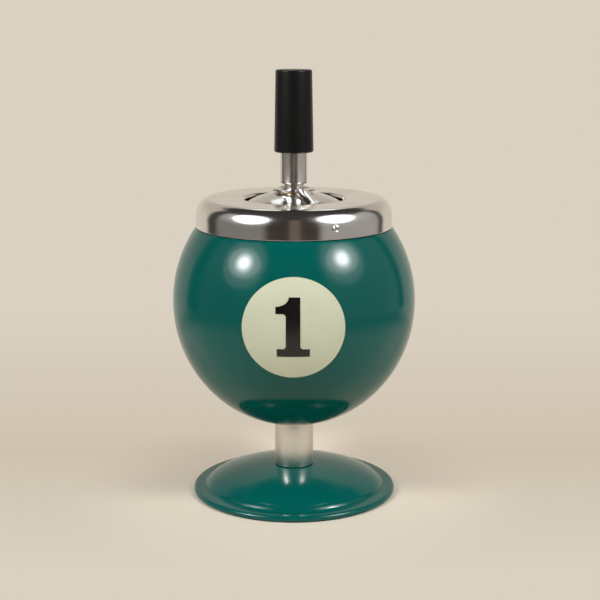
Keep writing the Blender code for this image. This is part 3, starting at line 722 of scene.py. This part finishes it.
@dataclass
class Pedestal(Assembly):
    """Tube between foot and ball, with the tie rod, nuts and washers that clamp it."""

    wall: float = 0.001
    tube_edge: float = 0.00035
    washer_edge: float = 0.0002
    nut_flats: float = 0.010
    nut_bore: float = 0.0031
    nut_mouth: float = 0.0036
    chamfer_inset: float = 0.00108
    chamfer: float = 0.0006
    chamfer_drop: float = 0.00102
    thread_pitch: float = 0.001
    thread_depth: float = 0.0003
    thread_steps: int = 6

    def build(self) -> None:
        """Models and dresses the tube and what clamps it."""
        bore = radius_of("pedestal_tube") - self.wall
        self.fit_ring("nickel_tube", "pedestal_tube", Slot.NICKEL, bore, self.tube_edge, ROD_STEPS)
        for node in ("foot_washer", "bowl_washer"):
            self.fit_ring(f"zinc_{node}", node, Slot.ZINC, ROD_HOLE, self.washer_edge, ROD_STEPS)
        for node in ("foot_nut", "bowl_nut"):
            self.fit(self.nut(node), Slot.ZINC, node)
        self.fit(self.threaded_rod(), Slot.ZINC, "tie_rod", angle=WIRE_ANGLE)
        self.keep(Slot.NYLON, "lower_plug", "upper_plug")

    def nut(self, node: str) -> Piece:
        """Chamfered hexagon nut in the place of a CAD nut."""
        low, high = heights(node)
        corner = self.nut_flats / 2 / cos(pi / HEXAGON)
        upper = [
            (self.nut_bore, high - self.chamfer),
            (self.nut_mouth, high),
            (corner - self.chamfer_inset, high),
            (corner + self.chamfer, high - self.chamfer_drop),
        ]
        lower = [(radius, low + high - z) for radius, z in reversed(upper)]
        nut = Bench.turn(f"hexagon_{node}", upper + lower + upper[:1], ROD_STEPS)
        top, bottom = high + CUT_MARGIN, low - CUT_MARGIN
        outline = [(0.0, top), (corner, top), (corner, bottom), (0.0, bottom)]
        hexagon = Bench.turn("hexagon", outline, HEXAGON)
        # half a step round, so that no corner of the hexagon falls on an edge of the turned nut
        Bench.place(hexagon, Matrix.Rotation(pi / ROD_STEPS, 4, "Z"))
        Bench.intersect(nut, hexagon)
        return nut

    def threaded_rod(self) -> Piece:
        """Tie rod with chamfered ends and a cut thread all along it."""
        low, high = heights("tie_rod")
        radius = radius_of("tie_rod")
        end = radius - self.chamfer
        top, bottom = high - self.chamfer, low + self.chamfer
        steps = round((top - bottom) / self.thread_pitch * self.thread_steps)
        profile = [(0.0, high), (end, high)]
        profile += [(radius, top + (bottom - top) * step / steps) for step in range(steps + 1)]
        profile += [(end, low), (0.0, low)]
        rod = Bench.turn("tie_rod_thread", profile, SMALL_STEPS)
        for vertex in rod.data.vertices:
            x, y, z = vertex.co
            if hypot(x, y) > radius - self.chamfer / 2:
                phase = (z / self.thread_pitch - atan2(y, x) / tau) % 1.0
                factor = 1 - self.thread_depth * abs(2 * phase - 1) / radius
                vertex.co.x *= factor
                vertex.co.y *= factor
        return rod


@dataclass
class Ball(Assembly):
    """Hollow enamelled ball with the neck in its mouth, and the number on its front."""

    radius: float = 0.055
    half_height: float = 0.0573
    arc_steps: int = 96
    wall: float = 0.0012
    wall_edge: float = 0.0003
    neck_edge: float = 0.0004
    disc_radius: float = 0.02175
    disc_drop: float = 0.0012
    disc_steps: int = 160
    disc_low: float = 0.00005
    disc_high: float = 0.00016
    figure_low: float = 0.0002
    figure_high: float = 0.00028
    patch_mesh: float = 0.001
    patch_shift: float = 0.37
    figure_top: float = 0.01237
    figure_bottom: float = -0.01311
    stem_left: float = -0.0032
    stem_right: float = 0.00284
    top_left: float = -0.00199
    flag_tip: float = -0.00753
    flag_top: float = 0.00848
    flag_bottom: float = 0.00544
    flag_steps: int = 14
    foot_left: float = -0.00703
    foot_right: float = 0.00684
    foot_top: float = -0.00978
    figure_fillet: float = 0.0014

    @property
    def centre(self) -> float:
        """Height of the ball's middle."""
        seat = heights("ball_shell")[0]
        return seat + self.half_height * sqrt(1 - (seat_radius() / self.radius) ** 2)

    def build(self) -> None:
        """Models and dresses the ball, its neck and the number."""
        seat, ledge = heights("ball_shell")
        neck = radius_of("ball_neck")
        start, end = (asin((z - self.centre) / self.half_height) for z in (ledge, seat))
        radii = (self.radius, self.half_height)
        side = arc((0.0, self.centre), radii, start, end, self.arc_steps)
        profile = [(neck + GAP, ledge), *side, (ROD_HOLE, seat)]
        shell = Bench.turn("enamelled_ball", profile, BALL_STEPS)
        Bench.thicken(shell, self.wall, self.wall_edge)
        self.fit(shell, Slot.GREEN, "ball_shell")
        self.fit_ring("neck_ring", "ball_neck", Slot.GREEN, neck - self.wall, self.neck_edge)
        radii = (self.disc_radius, self.disc_radius)
        circle = arc((0.0, -self.disc_drop), radii, 0, tau, self.disc_steps)[:-1]
        disc = self.patch("cream_disc", circle, self.disc_low, self.disc_high)
        self.fit(disc, Slot.CREAM, "number_disc")
        outline = self.figure_outline()
        figure = self.patch("black_figure", outline, self.figure_low, self.figure_high)
        self.fit(figure, Slot.BLACK, "number_figure")

    def figure_outline(self) -> list[Point]:
        """Outline of a plain figure 1 with a flag and a foot."""
        radii = (self.top_left - self.flag_tip, self.figure_top - self.flag_top)
        flag = arc((self.flag_tip, self.figure_top), radii, 0, -pi / 2, self.flag_steps)
        corners = [(*point, 0.0) for point in flag]
        corners += [
            (self.flag_tip, self.flag_bottom, 0.0),
            (self.stem_left, self.flag_bottom, self.figure_fillet),
            (self.stem_left, self.foot_top, self.figure_fillet),
            (self.foot_left, self.foot_top, 0.0),
            (self.foot_left, self.figure_bottom, 0.0),
            (self.foot_right, self.figure_bottom, 0.0),
            (self.foot_right, self.foot_top, 0.0),
            (self.stem_right, self.foot_top, self.figure_fillet),
            (self.stem_right, self.figure_top, 0.0),
        ]
        return rounded(corners, closed=True)

    def patch(self, name: str, outline: Sequence[Point], low: float, high: float) -> Piece:
        """Thin patch that follows the ball's front.

        Args:
            name: Name of the new piece.
            outline: Its outline as seen from the front, about the ball's middle.
            low: Distance of its back from the ball.
            high: Distance of its face from the ball.

        Returns:
            The new piece.
        """
        piece = Bench.chain(name, [(x, 0.0, self.centre + z) for x, z in outline])
        bpy.ops.mesh.edge_face_add()
        cuts = round((self.disc_radius + self.disc_drop) / self.patch_mesh)
        for index in range(-cuts, cuts + 1):
            shift = (index + self.patch_shift) * self.patch_mesh
            upright = ((shift, 0, 0), (1, 0, 0))
            level = ((0, 0, self.centre + shift), (0, 0, 1))
            for plane, normal in (upright, level):
                bpy.ops.mesh.select_all(action="SELECT")
                bpy.ops.mesh.bisect(plane_co=plane, plane_no=normal)
        Bench.close()
        for vertex in piece.data.vertices:
            across = vertex.co.x / (self.radius + low)
            up = (vertex.co.z - self.centre) / (self.half_height + low)
            vertex.co.y = -(self.radius + low) * sqrt(1 - across**2 - up**2)
        outwards = sum(face.normal.y for face in piece.data.polygons) < 0
        thickness = high - low if outwards else low - high
        Bench.apply(piece, "SOLIDIFY", thickness=thickness, offset=1.0, use_even_offset=True)
        Bench.edit(piece)
        Bench.close()
        return piece


@dataclass
class Lid(Assembly):
    """Bright lid with its skirt, shoulder, dished windows and bridge, and the stirrup's rivets."""

    body: ClassVar[Body] = Body.LID
    sheet: float = 0.0008
    sheet_edge: float = 0.0002
    height: float = 0.0126
    shoulder: float = 0.006
    shoulder_drop: float = 0.0085
    shoulder_steps: int = 20
    skirt_edge: float = 0.0004
    skirt_steps: int = 5
    window: float = 0.0222
    window_steps: int = 18
    dish_depth: float = 0.0012
    dish_width: float = 0.0016
    flat_steps: int = 24
    bridge_azimuth: float = radians(23.5)
    bridge_half: float = 0.0014
    bridge_crown: float = 0.0006
    bridge_reach: float = 0.0012
    bridge_blend: float = 0.0008
    crown_power: int = 4
    crown_ramp: float = 3.0
    cut_reach: float = 0.002
    hub_radius: float = 0.0095
    hub_hole: float = 0.0064
    hub_spread: float = radians(20)
    hub_steps: int = 5
    rivet_azimuth: float = radians(24.2)
    rivet_height: float = 0.0046
    rivet_inside: float = 0.0366
    rivet_proud: float = 0.0009
    rivet_head: tuple[Corner, ...] = (
        (0.0, -0.004, 0.0),
        (0.0007, -0.004, 0.0),
        (0.0007, 0.0, 0.0004),
        (0.0017, -0.00015, 0.0006),
        (0.0017, -0.0006, 0.0),
        (0.001, -0.0006, 0.0),
    )
    rivet_tail: tuple[Corner, ...] = (
        (0.001, 0.0006, 0.0),
        (0.0017, 0.0006, 0.0002),
        (0.0016, 0.0, 0.0),
        (0.0, 0.0, 0.0),
    )

    @property
    def skirt_bottom(self) -> float:
        """Height of the skirt's edge."""
        return heights("lid_cap")[0]

    @property
    def top(self) -> float:
        """Height of the flat ring round the windows."""
        return self.skirt_bottom + self.height

    @property
    def rim(self) -> float:
        """Radius at which the shoulder starts."""
        return radius_of("lid_cap") - self.shoulder

    @property
    def hub_corner(self) -> Point:
        """Where the bridge's side leaves the hub, along the bridge and across it."""
        return self.hub_radius * cos(self.hub_spread), self.hub_radius * sin(self.hub_spread)

    @property
    def direction(self) -> Vector:
        """Direction of the bridge in plan, from the axis to the front."""
        return Vector((sin(self.bridge_azimuth), -cos(self.bridge_azimuth), 0.0))

    def build(self) -> None:
        """Models and dresses the lid and its rivets."""
        self.fit(self.cap(), Slot.CHROME, "lid_cap", angle=SHEET_ANGLE)
        for node, turn in (("rivet_front", 0.0), ("rivet_back", pi)):
            self.fit(self.rivet(node, self.rivet_azimuth + turn), Slot.CHROME, node)

    def profile(self) -> list[Point]:
        """Radius and height from the hub's hole to the skirt's edge, with the middle still flat."""
        radius = radius_of("lid_cap")
        points = [(self.hub_hole, self.top)]
        for start, end, steps in (
            (self.hub_hole, self.hub_radius, self.hub_steps),
            (self.hub_radius, self.window, self.window_steps),
            (self.window, self.rim, self.flat_steps),
        ):
            points += [(start + (end - start) * k / steps, self.top) for k in range(1, steps + 1)]
        turn = self.top - self.shoulder_drop
        radii = (self.shoulder, self.shoulder_drop)
        points += arc((self.rim, turn), radii, pi / 2, 0, self.shoulder_steps)[1:]
        fall = (self.skirt_bottom + self.skirt_edge - turn) / self.skirt_steps
        points += [(radius, turn + fall * k) for k in range(1, self.skirt_steps + 1)]
        return points + [(radius, self.skirt_bottom)]

    def along(self, place: Vector) -> Point:
        """How far a place is along the bridge and across it."""
        ahead = self.direction
        return place.x * ahead.x + place.y * ahead.y, place.x * ahead.y - place.y * ahead.x

    def half_width(self, distance: float) -> float:
        """Half the bridge's width at a distance from the axis, less at its root than at the hub."""
        hub_along, hub_half = self.hub_corner
        share = share_of(abs(distance), hub_along, self.window)
        return hub_half + (self.bridge_half - hub_half) * share

    def in_gap(self, place: Vector) -> bool:
        """Whether a place is between the hub and the windows' edge."""
        return self.hub_radius < hypot(place.x, place.y) < self.window

    def in_window(self, place: Vector) -> bool:
        """Whether a place is in one of the windows."""
        distance, side = self.along(place)
        return self.in_gap(place) and abs(side) > self.half_width(distance)

    def cap(self) -> Piece:
        """The lid: one sheet, cut for the windows and pressed up into the bridge."""
        cap = Bench.turn("bright_lid", self.profile(), LID_STEPS)
        self.cut_windows(cap)
        for vertex in cap.data.vertices:
            vertex.co.z += self.lift(vertex.co)
        Bench.thicken(cap, self.sheet, self.sheet_edge)
        return cap

    def cut_windows(self, cap: Piece) -> None:
        """Cuts the sheet along the bridge's sides and takes the windows out."""
        ahead = self.direction
        across = Vector((ahead.y, -ahead.x, 0.0))
        hub_along, hub_half = self.hub_corner
        Bench.edit(cap)
        bpy.ops.mesh.select_mode(type="FACE")
        for arm, hand in ((1, 1), (1, -1), (-1, 1), (-1, -1)):
            near = ahead * arm * hub_along + across * hand * hub_half
            far = ahead * arm * self.window + across * hand * self.bridge_half
            normal = (far - near).cross(Vector((0, 0, 1))).normalized()

            def beside(place: Vector) -> bool:
                """Whether a place is about this side of this arm."""
                distance, side = self.along(place)
                return self.in_gap(place) and distance * arm > 0 and side * hand > -self.cut_reach

            Bench.choose(cap, beside)
            bpy.ops.mesh.bisect(plane_co=(near.x, near.y, self.top), plane_no=normal)
        Bench.choose(cap, self.in_window)
        bpy.ops.mesh.delete(type="FACE")
        Bench.mode("OBJECT")

    def lift(self, place: Vector) -> float:
        """How far the sheet is pressed up or down from the flat ring at a place."""
        radius = hypot(place.x, place.y)
        if radius > self.rim:
            return 0.0
        dish = self.dish(radius)
        root = self.window + self.bridge_reach
        if radius > root:
            return dish
        rise = heights("lid_cap")[1] - self.top
        up = share_of(radius, root, self.hub_radius)
        arch = self.dish(root) + (rise - self.dish(root)) * up
        distance, side = self.along(place)
        half = self.half_width(distance)
        edge = min(1.0, radius / self.hub_radius, abs(side) / half)
        arch -= self.bridge_crown * edge**self.crown_power * min(1.0, self.crown_ramp * up)
        outside = max(0.0, abs(side) - half) if radius > self.window else 0.0
        fade = max(0.0, 1 - outside / self.bridge_blend)
        return dish + (arch - dish) * fade * fade * (3 - 2 * fade)

    def dish(self, radius: float) -> float:
        """Height of the dished window edge from the flat ring."""
        share = share_of(radius, self.window, self.window + self.dish_width)
        return self.dish_depth * (sin(share * pi / 2) - 1)

    def rivet(self, node: str, azimuth: float) -> Piece:
        """Hollow rivet with a rolled head, in the skirt."""
        low, high = self.rivet_inside, radius_of("lid_cap") + self.rivet_proud
        corners = [(radius, high + z, fillet) for radius, z, fillet in self.rivet_head]
        corners += [(radius, low + z, fillet) for radius, z, fillet in self.rivet_tail]
        rivet = Bench.turn(f"hollow_{node}", rounded(corners, steps=5), SMALL_STEPS)
        outwards = Vector((sin(azimuth), -cos(azimuth), 0.0))
        place = Matrix.Translation((0, 0, self.skirt_bottom + self.rivet_height))
        Bench.place(rivet, place @ outwards.to_track_quat("Z", "X").to_matrix().to_4x4())
        return rivet


@dataclass
class Mechanism(Assembly):
    """Stirrup, spindle and spring under the lid."""

    body: ClassVar[Body] = Body.LID
    wire: float = 0.0005
    wire_steps: int = 12
    turns: float = 5.5
    turn_steps: int = 36
    travel: float = 0.014

    def build(self) -> None:
        """Models and dresses the mechanism."""
        spindle = ("spindle", "spindle_washer", "spindle_nut")
        self.refine(Slot.ZINC, "stirrup", *spindle, "spring_seat")
        low, high = heights("return_spring")
        spring = self.spring(low, high)
        self.fit(spring, Slot.SPRING, "return_spring", angle=WIRE_ANGLE)
        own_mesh(spring)

    def spring(self, low: float, high: float) -> Piece:
        """Wound wire between two heights."""
        mean = radius_of("return_spring") - self.wire
        radii = (self.wire, self.wire)
        section = arc((mean, low + self.wire), radii, 0, tau, self.wire_steps)
        spring = Bench.chain("wound_spring", [(x, 0.0, z) for x, z in section])
        Bench.close()
        steps = round(self.turn_steps * self.turns)
        Bench.apply(
            spring,
            "SCREW",
            angle=tau * self.turns,
            steps=steps,
            render_steps=steps,
            screw_offset=high - low - 2 * self.wire,
            use_merge_vertices=False,
        )
        Bench.edit(spring)
        bpy.ops.mesh.fill_holes(sides=0)
        Bench.close()
        return spring


@dataclass
class Plunger(Assembly):
    """Stem with its clip and washer, and the handle on its top."""

    body: ClassVar[Body] = Body.PLUNGER
    end_gap: float = 0.0017
    end_fillet: float = 0.00095
    neck_step: float = 0.0014
    stem_bore: float = 0.0029
    journal_wall: float = 0.0013
    groove_depth: float = 0.0006
    clip_edge: float = 0.00008
    handle_taper: float = 0.0007
    handle_edge: float = 0.0007
    handle_crown: float = 0.0002
    crown_middle: Point = (0.5, 0.2)
    mouth_edge: float = 0.0003

    def build(self) -> None:
        """Models and dresses the plunger."""
        self.fit(self.stem(), Slot.NICKEL, "stem", finish=STEM_FINISH)
        self.fit(self.handle(), Slot.PLASTIC, "handle")
        self.refine(Slot.SPRING, "stem_clip", edge=self.clip_edge)
        self.refine(Slot.NYLON, "thrust_washer")

    def stem(self) -> Piece:
        """Tube with a rounded lower end, a neck and a journal for the rotor."""
        low, high = heights("stem")
        radius = radius_of("stem")
        end = heights("lid_cap")[1] + self.end_gap
        neck = radius - self.neck_step
        journal_top = heights("rotor_bush")[1] + GAP
        journal = self.stem_bore + self.journal_wall
        groove = journal - self.groove_depth
        groove_low, groove_high = heights("stem_clip")[0] - GAP, heights("stem_clip")[1] + GAP
        corners = [
            (self.stem_bore, high, 0.0),
            (radius, high, 0.0),
            (radius, end, self.end_fillet),
            (neck, end, 0.0),
            (neck, journal_top, 0.0),
            (journal, journal_top, 0.0),
            (journal, groove_high, 0.0),
            (groove, groove_high, 0.0),
            (groove, groove_low, 0.0),
            (journal, groove_low, 0.0),
            (journal, low, 0.0),
            (self.stem_bore, low, 0.0),
        ]
        profile = rounded(corners, closed=True)
        return Bench.turn("nickel_stem", profile + profile[:1], ROD_STEPS)

    def handle(self) -> Piece:
        """Tapered grip with rounded edges and a slightly crowned top."""
        low, high = heights("handle")
        bottom_radius = radius_of("handle")
        top_radius = bottom_radius - self.handle_taper
        bore = radius_of("stem") + GAP
        bore_top = heights("stem")[1] + GAP
        out, fall = self.crown_middle
        corners = [
            (0.0, high, 0.0),
            (top_radius * out, high - fall * self.handle_crown, 0.0),
            (top_radius, high - self.handle_crown, self.handle_edge),
            (bottom_radius, low, self.handle_edge),
            (bore, low, self.mouth_edge),
            (bore, bore_top, 0.0),
            (0.0, bore_top, 0.0),
        ]
        return Bench.turn("black_handle", rounded(corners), ROD_STEPS)


@dataclass
class Rotor(Assembly):
    """Domed rotor with its bush and drive plate."""

    body: ClassVar[Body] = Body.SPINNER
    dome_radius: float = 0.0455
    dome_steps: int = 40
    edge_inset: float = 0.0012
    sheet: float = 0.0008
    sheet_edge: float = 0.0002
    hole: float = 0.0058
    land_radius: float = 0.0086

    def build(self) -> None:
        """Models and dresses the rotor."""
        high = heights("rotor")[1]
        radius = radius_of("rotor") - self.edge_inset
        radii = (self.dome_radius, self.dome_radius)
        start, end = (acos(r / self.dome_radius) for r in (self.land_radius, radius))
        centre = (0.0, high - self.dome_radius * sin(start))
        dome = arc(centre, radii, start, end, self.dome_steps)
        rotor = Bench.turn("bright_rotor", [(self.hole, high)] + dome)
        Bench.thicken(rotor, self.sheet, self.sheet_edge)
        self.fit(rotor, Slot.CHROME, "rotor", finish=ROTOR_FINISH, angle=SHEET_ANGLE)
        self.refine(Slot.BRASS, "rotor_bush")
        self.refine(Slot.ZINC, "drive_plate")


@dataclass(frozen=True)
class Lamp:
    """An area lamp: where it stands as seen from the ball, its size and its brightness."""

    name: str
    azimuth: float
    elevation: float
    width: float
    height: float
    brightness: float
    shape: str = "ELLIPSE"
    distance: float = 0.95
    spacing: ClassVar[float] = 0.01
    layers: ClassVar[tuple[Corner, ...]] = (
        (0.18, 0.16, 26.0),
        (0.29, 0.26, 12.0),
        (0.56, 0.40, 4.5),
        (0.74, 0.70, 1.4),
    )

    @classmethod
    def layered(cls, name: str, azimuth: float, elevation: float) -> list["Lamp"]:
        """Lamps one behind another, which together have a soft edge.

        Args:
            name: Start of their names.
            azimuth: Turn from the front towards the right.
            elevation: Angle above the ball.

        Returns:
            The lamps, the smallest first.
        """
        lamps = []
        for k, layer in enumerate(cls.layers):
            distance = cls.distance + cls.spacing * k
            lamps.append(cls(f"{name}_lamp_{k}", azimuth, elevation, *layer, distance=distance))
        return lamps

    @property
    def power(self) -> float:
        """Watts for the brightness and size."""
        area = self.width * self.height * (pi / 4 if self.shape == "ELLIPSE" else 1.0)
        return self.brightness * area * pi


@dataclass
class Studio:
    """Floor, backdrop, lamps and camera. A fade is where a change starts and where it ends."""

    floor_radius: float = 0.55
    floor_steps: int = 128
    # painted light and shade: the floor's colour is darker in front of the foot, where the lamps
    # light it most, and lighter beside and behind it, where the object's shadow falls
    floor_front_painted_shade: Colour = (0.607, 0.551, 0.458)
    floor_beside_painted_light: Colour = (0.79, 0.69, 0.567)
    # painted shade: further out in front and beside, the floor that reflections and bounced light
    # see is dark, for the unlit room
    floor_far_painted_shade: Colour = (0.16, 0.145, 0.12)
    painted_light_fade: Point = (-0.05, 0.04)
    dark_fade: Point = (0.2, 0.42)
    glow_fade: Point = (0.05, 0.115)
    behind_fade: Point = (0.1, 0.26)
    backdrop: Colour = (0.70, 0.635, 0.535)
    # painted shade: the floor's glow is darker in a band round and behind the foot, where the
    # object's soft shadow falls
    haze: tuple[tuple[float, Colour], ...] = (
        (0.12, (0.665, 0.597, 0.491)),
        (0.3, (0.625, 0.545, 0.432)),
        (0.5, (0.655, 0.577, 0.472)),
        (0.75, (0.685, 0.61, 0.51)),
    )
    shade_band_scale: float = 2.0
    shade_band_shift: float = 0.2
    shade_band_fade: Point = (0.28, 0.5)
    front: Colour = (0.042, 0.033, 0.028)
    left_low: Colour = (0.22, 0.205, 0.19)
    left_high: Colour = (0.36, 0.35, 0.335)
    right_low: Colour = (0.38, 0.355, 0.335)
    right_high: Colour = (0.42, 0.405, 0.39)
    gap: Colour = (0.05, 0.046, 0.04)
    blotch: Colour = (0.15, 0.12, 0.10)
    back: Colour = (0.68, 0.615, 0.525)
    back_high: Colour = (0.52, 0.47, 0.40)
    ceiling: Colour = (0.04, 0.036, 0.033)
    wall_fade: Point = (0.08, 0.42)
    ceiling_fade: Point = (0.58, 0.72)
    target: float = 0.09
    lamps: tuple[Lamp, ...] = (
        *Lamp.layered("left", radians(-56), radians(34)),
        *Lamp.layered("right", radians(57), radians(37.5)),
        Lamp("top_panel", radians(180), radians(50), 0.42, 0.24, 1.3, "RECTANGLE"),
    )
    camera_place: Corner = (0.00273, -0.6221, 0.2206)
    camera_pitch: float = radians(11.88)
    camera_focal_px: float = 1393.9
    camera_near: float = 0.01
    frame_px: ClassVar[int] = 600
    sensor: ClassVar[float] = 36.0

    def build(self) -> None:
        """Sets up the floor, the world, the lamps and the camera."""
        bpy.context.scene.view_settings.view_transform = "Standard"
        self.build_floor()
        self.build_world()
        for lamp in self.lamps:
            self.build_lamp(lamp)
        self.build_camera()

    def build_floor(self) -> None:
        """Round pale floor that takes the shadow near the foot and fades into the backdrop, with
        painted light and shade in its colour and its glow.
        """
        Bench.clear()
        bpy.ops.mesh.primitive_circle_add(
            vertices=self.floor_steps, radius=self.floor_radius, fill_type="NGON"
        )
        floor = bpy.context.active_object
        floor.name = "floor"
        material = bpy.data.materials.new("floor_cloth")
        material.use_nodes = True
        nodes = Nodes(material.node_tree)
        material.node_tree.nodes.clear()
        place = nodes.point()
        length = nodes.out("VectorMath", {0: place}, "Value", operation="LENGTH")
        depth = nodes.out("SeparateXYZ", {0: place}, 1)
        # painted shade: the glow darkens in a band behind the foot for the object's shadow, then
        # turns to the plain backdrop further out
        stops = ((0.0, self.backdrop), *self.haze, (1.0, self.backdrop))
        haze = nodes.ramp(stops, depth * self.shade_band_scale + self.shade_band_shift)
        haze = nodes.mix(nodes.span(length, *self.shade_band_fade), haze, self.backdrop)
        # painted light and shade: darker floor colour in front, lighter beside and behind the foot
        beside = nodes.span(depth, *self.painted_light_fade)
        shade = nodes.mix(beside, self.floor_front_painted_shade, self.floor_beside_painted_light)
        # painted shade: the floor further out turns dark for reflections and bounced light
        shade = nodes.mix(nodes.span(length, *self.dark_fade), shade, self.floor_far_painted_shade)
        cloth = nodes.out("BsdfDiffuse", {"Color": shade})
        glow = nodes.out("Emission", {"Color": haze, "Strength": 1.0})
        seen = nodes.seen() * nodes.span(length, *self.glow_fade)
        share = nodes.maths("MAXIMUM", seen, nodes.span(depth, *self.behind_fade))
        surface = nodes.out("MixShader", {0: share, 1: cloth, 2: glow})
        nodes.make("OutputMaterial", {"Surface": surface})
        floor.data.materials.append(material)

    def room(self, left: Colour, right: Colour, back: Colour) -> Stops:
        """Stops of the room's colours, by azimuth from the back round by the left and the front.

        Args:
            left: Colour of the left side.
            right: Colour of the right side.
            back: Colour of the back.

        Returns:
            Each stop's position and colour.
        """
        stops = [
            (-122, back), (-116, self.gap), (-104, self.gap), (-97, left), (-37, left),
            (-29, self.front), (-7, self.front), (-3, self.blotch), (6, self.blotch),
            (10, self.front), (27, self.front), (35, right), (112, right),
            (118, self.gap), (123, self.gap), (128, back),
        ]  # fmt: skip
        return [((azimuth + 180) / 360, colour) for azimuth, colour in stops]

    def build_world(self) -> None:
        """Plain pale backdrop for the camera, and a soft room round the object."""
        world = bpy.data.worlds.new("studio")
        bpy.context.scene.world = world
        world.use_nodes = True
        nodes = Nodes(world.node_tree)
        world.node_tree.nodes.clear()
        direction = nodes.out("TexCoord", output="Generated")
        axes = nodes.make("SeparateXYZ", {0: direction})
        across, depth, height = (Value(nodes, socket) for socket in axes.outputs)
        azimuth = nodes.maths("ARCTAN2", across, depth * -1.0) * (1 / tau) + 0.5
        low = nodes.ramp(self.room(self.left_low, self.right_low, self.back), azimuth)
        high = nodes.ramp(self.room(self.left_high, self.right_high, self.back_high), azimuth)
        room = nodes.mix(nodes.span(height, *self.wall_fade), low, high)
        room = nodes.mix(nodes.span(height, *self.ceiling_fade), room, self.ceiling)
        colour = nodes.mix(nodes.seen(), room, self.backdrop)
        light = nodes.out("Background", {"Color": colour, "Strength": 1.0})
        nodes.make("OutputWorld", {"Surface": light})

    def build_lamp(self, lamp: Lamp) -> None:
        """Soft lamp aimed at the ball, unseen by the camera."""
        flat = lamp.distance * cos(lamp.elevation)
        rise = lamp.distance * sin(lamp.elevation)
        place = Vector((flat * sin(lamp.azimuth), -flat * cos(lamp.azimuth), self.target + rise))
        aim = (Vector((0, 0, self.target)) - place).to_track_quat("-Z", "Y").to_euler()
        Bench.clear()
        bpy.ops.object.light_add(type="AREA", location=place, rotation=aim)
        light = bpy.context.active_object
        light.name = lamp.name
        light.data.shape = lamp.shape
        light.data.size = lamp.width
        light.data.size_y = lamp.height
        light.data.energy = lamp.power
        light.visible_camera = False

    def build_camera(self) -> None:
        """Camera at the photograph's view."""
        Bench.clear()
        turn = (pi / 2 - self.camera_pitch, 0.0, 0.0)
        bpy.ops.object.camera_add(location=self.camera_place, rotation=turn)
        camera = bpy.context.active_object
        camera.name = "photo_camera"
        camera.data.sensor_width = self.sensor
        camera.data.lens = self.camera_focal_px * self.sensor / self.frame_px
        camera.data.clip_start = self.camera_near
        bpy.context.scene.camera = camera


def main() -> None:
    """Builds every sub-assembly, then the studio."""
    logging.basicConfig(level=logging.INFO, format="%(message)s")
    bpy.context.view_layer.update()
    Bench.clear()
    for assembly in (Foot, Pedestal, Ball, Lid, Mechanism, Plunger, Rotor):
        LOG.info("%s", assembly.__name__)
        assembly().build()
    Studio().build()


if __name__ == "__main__":
    main()
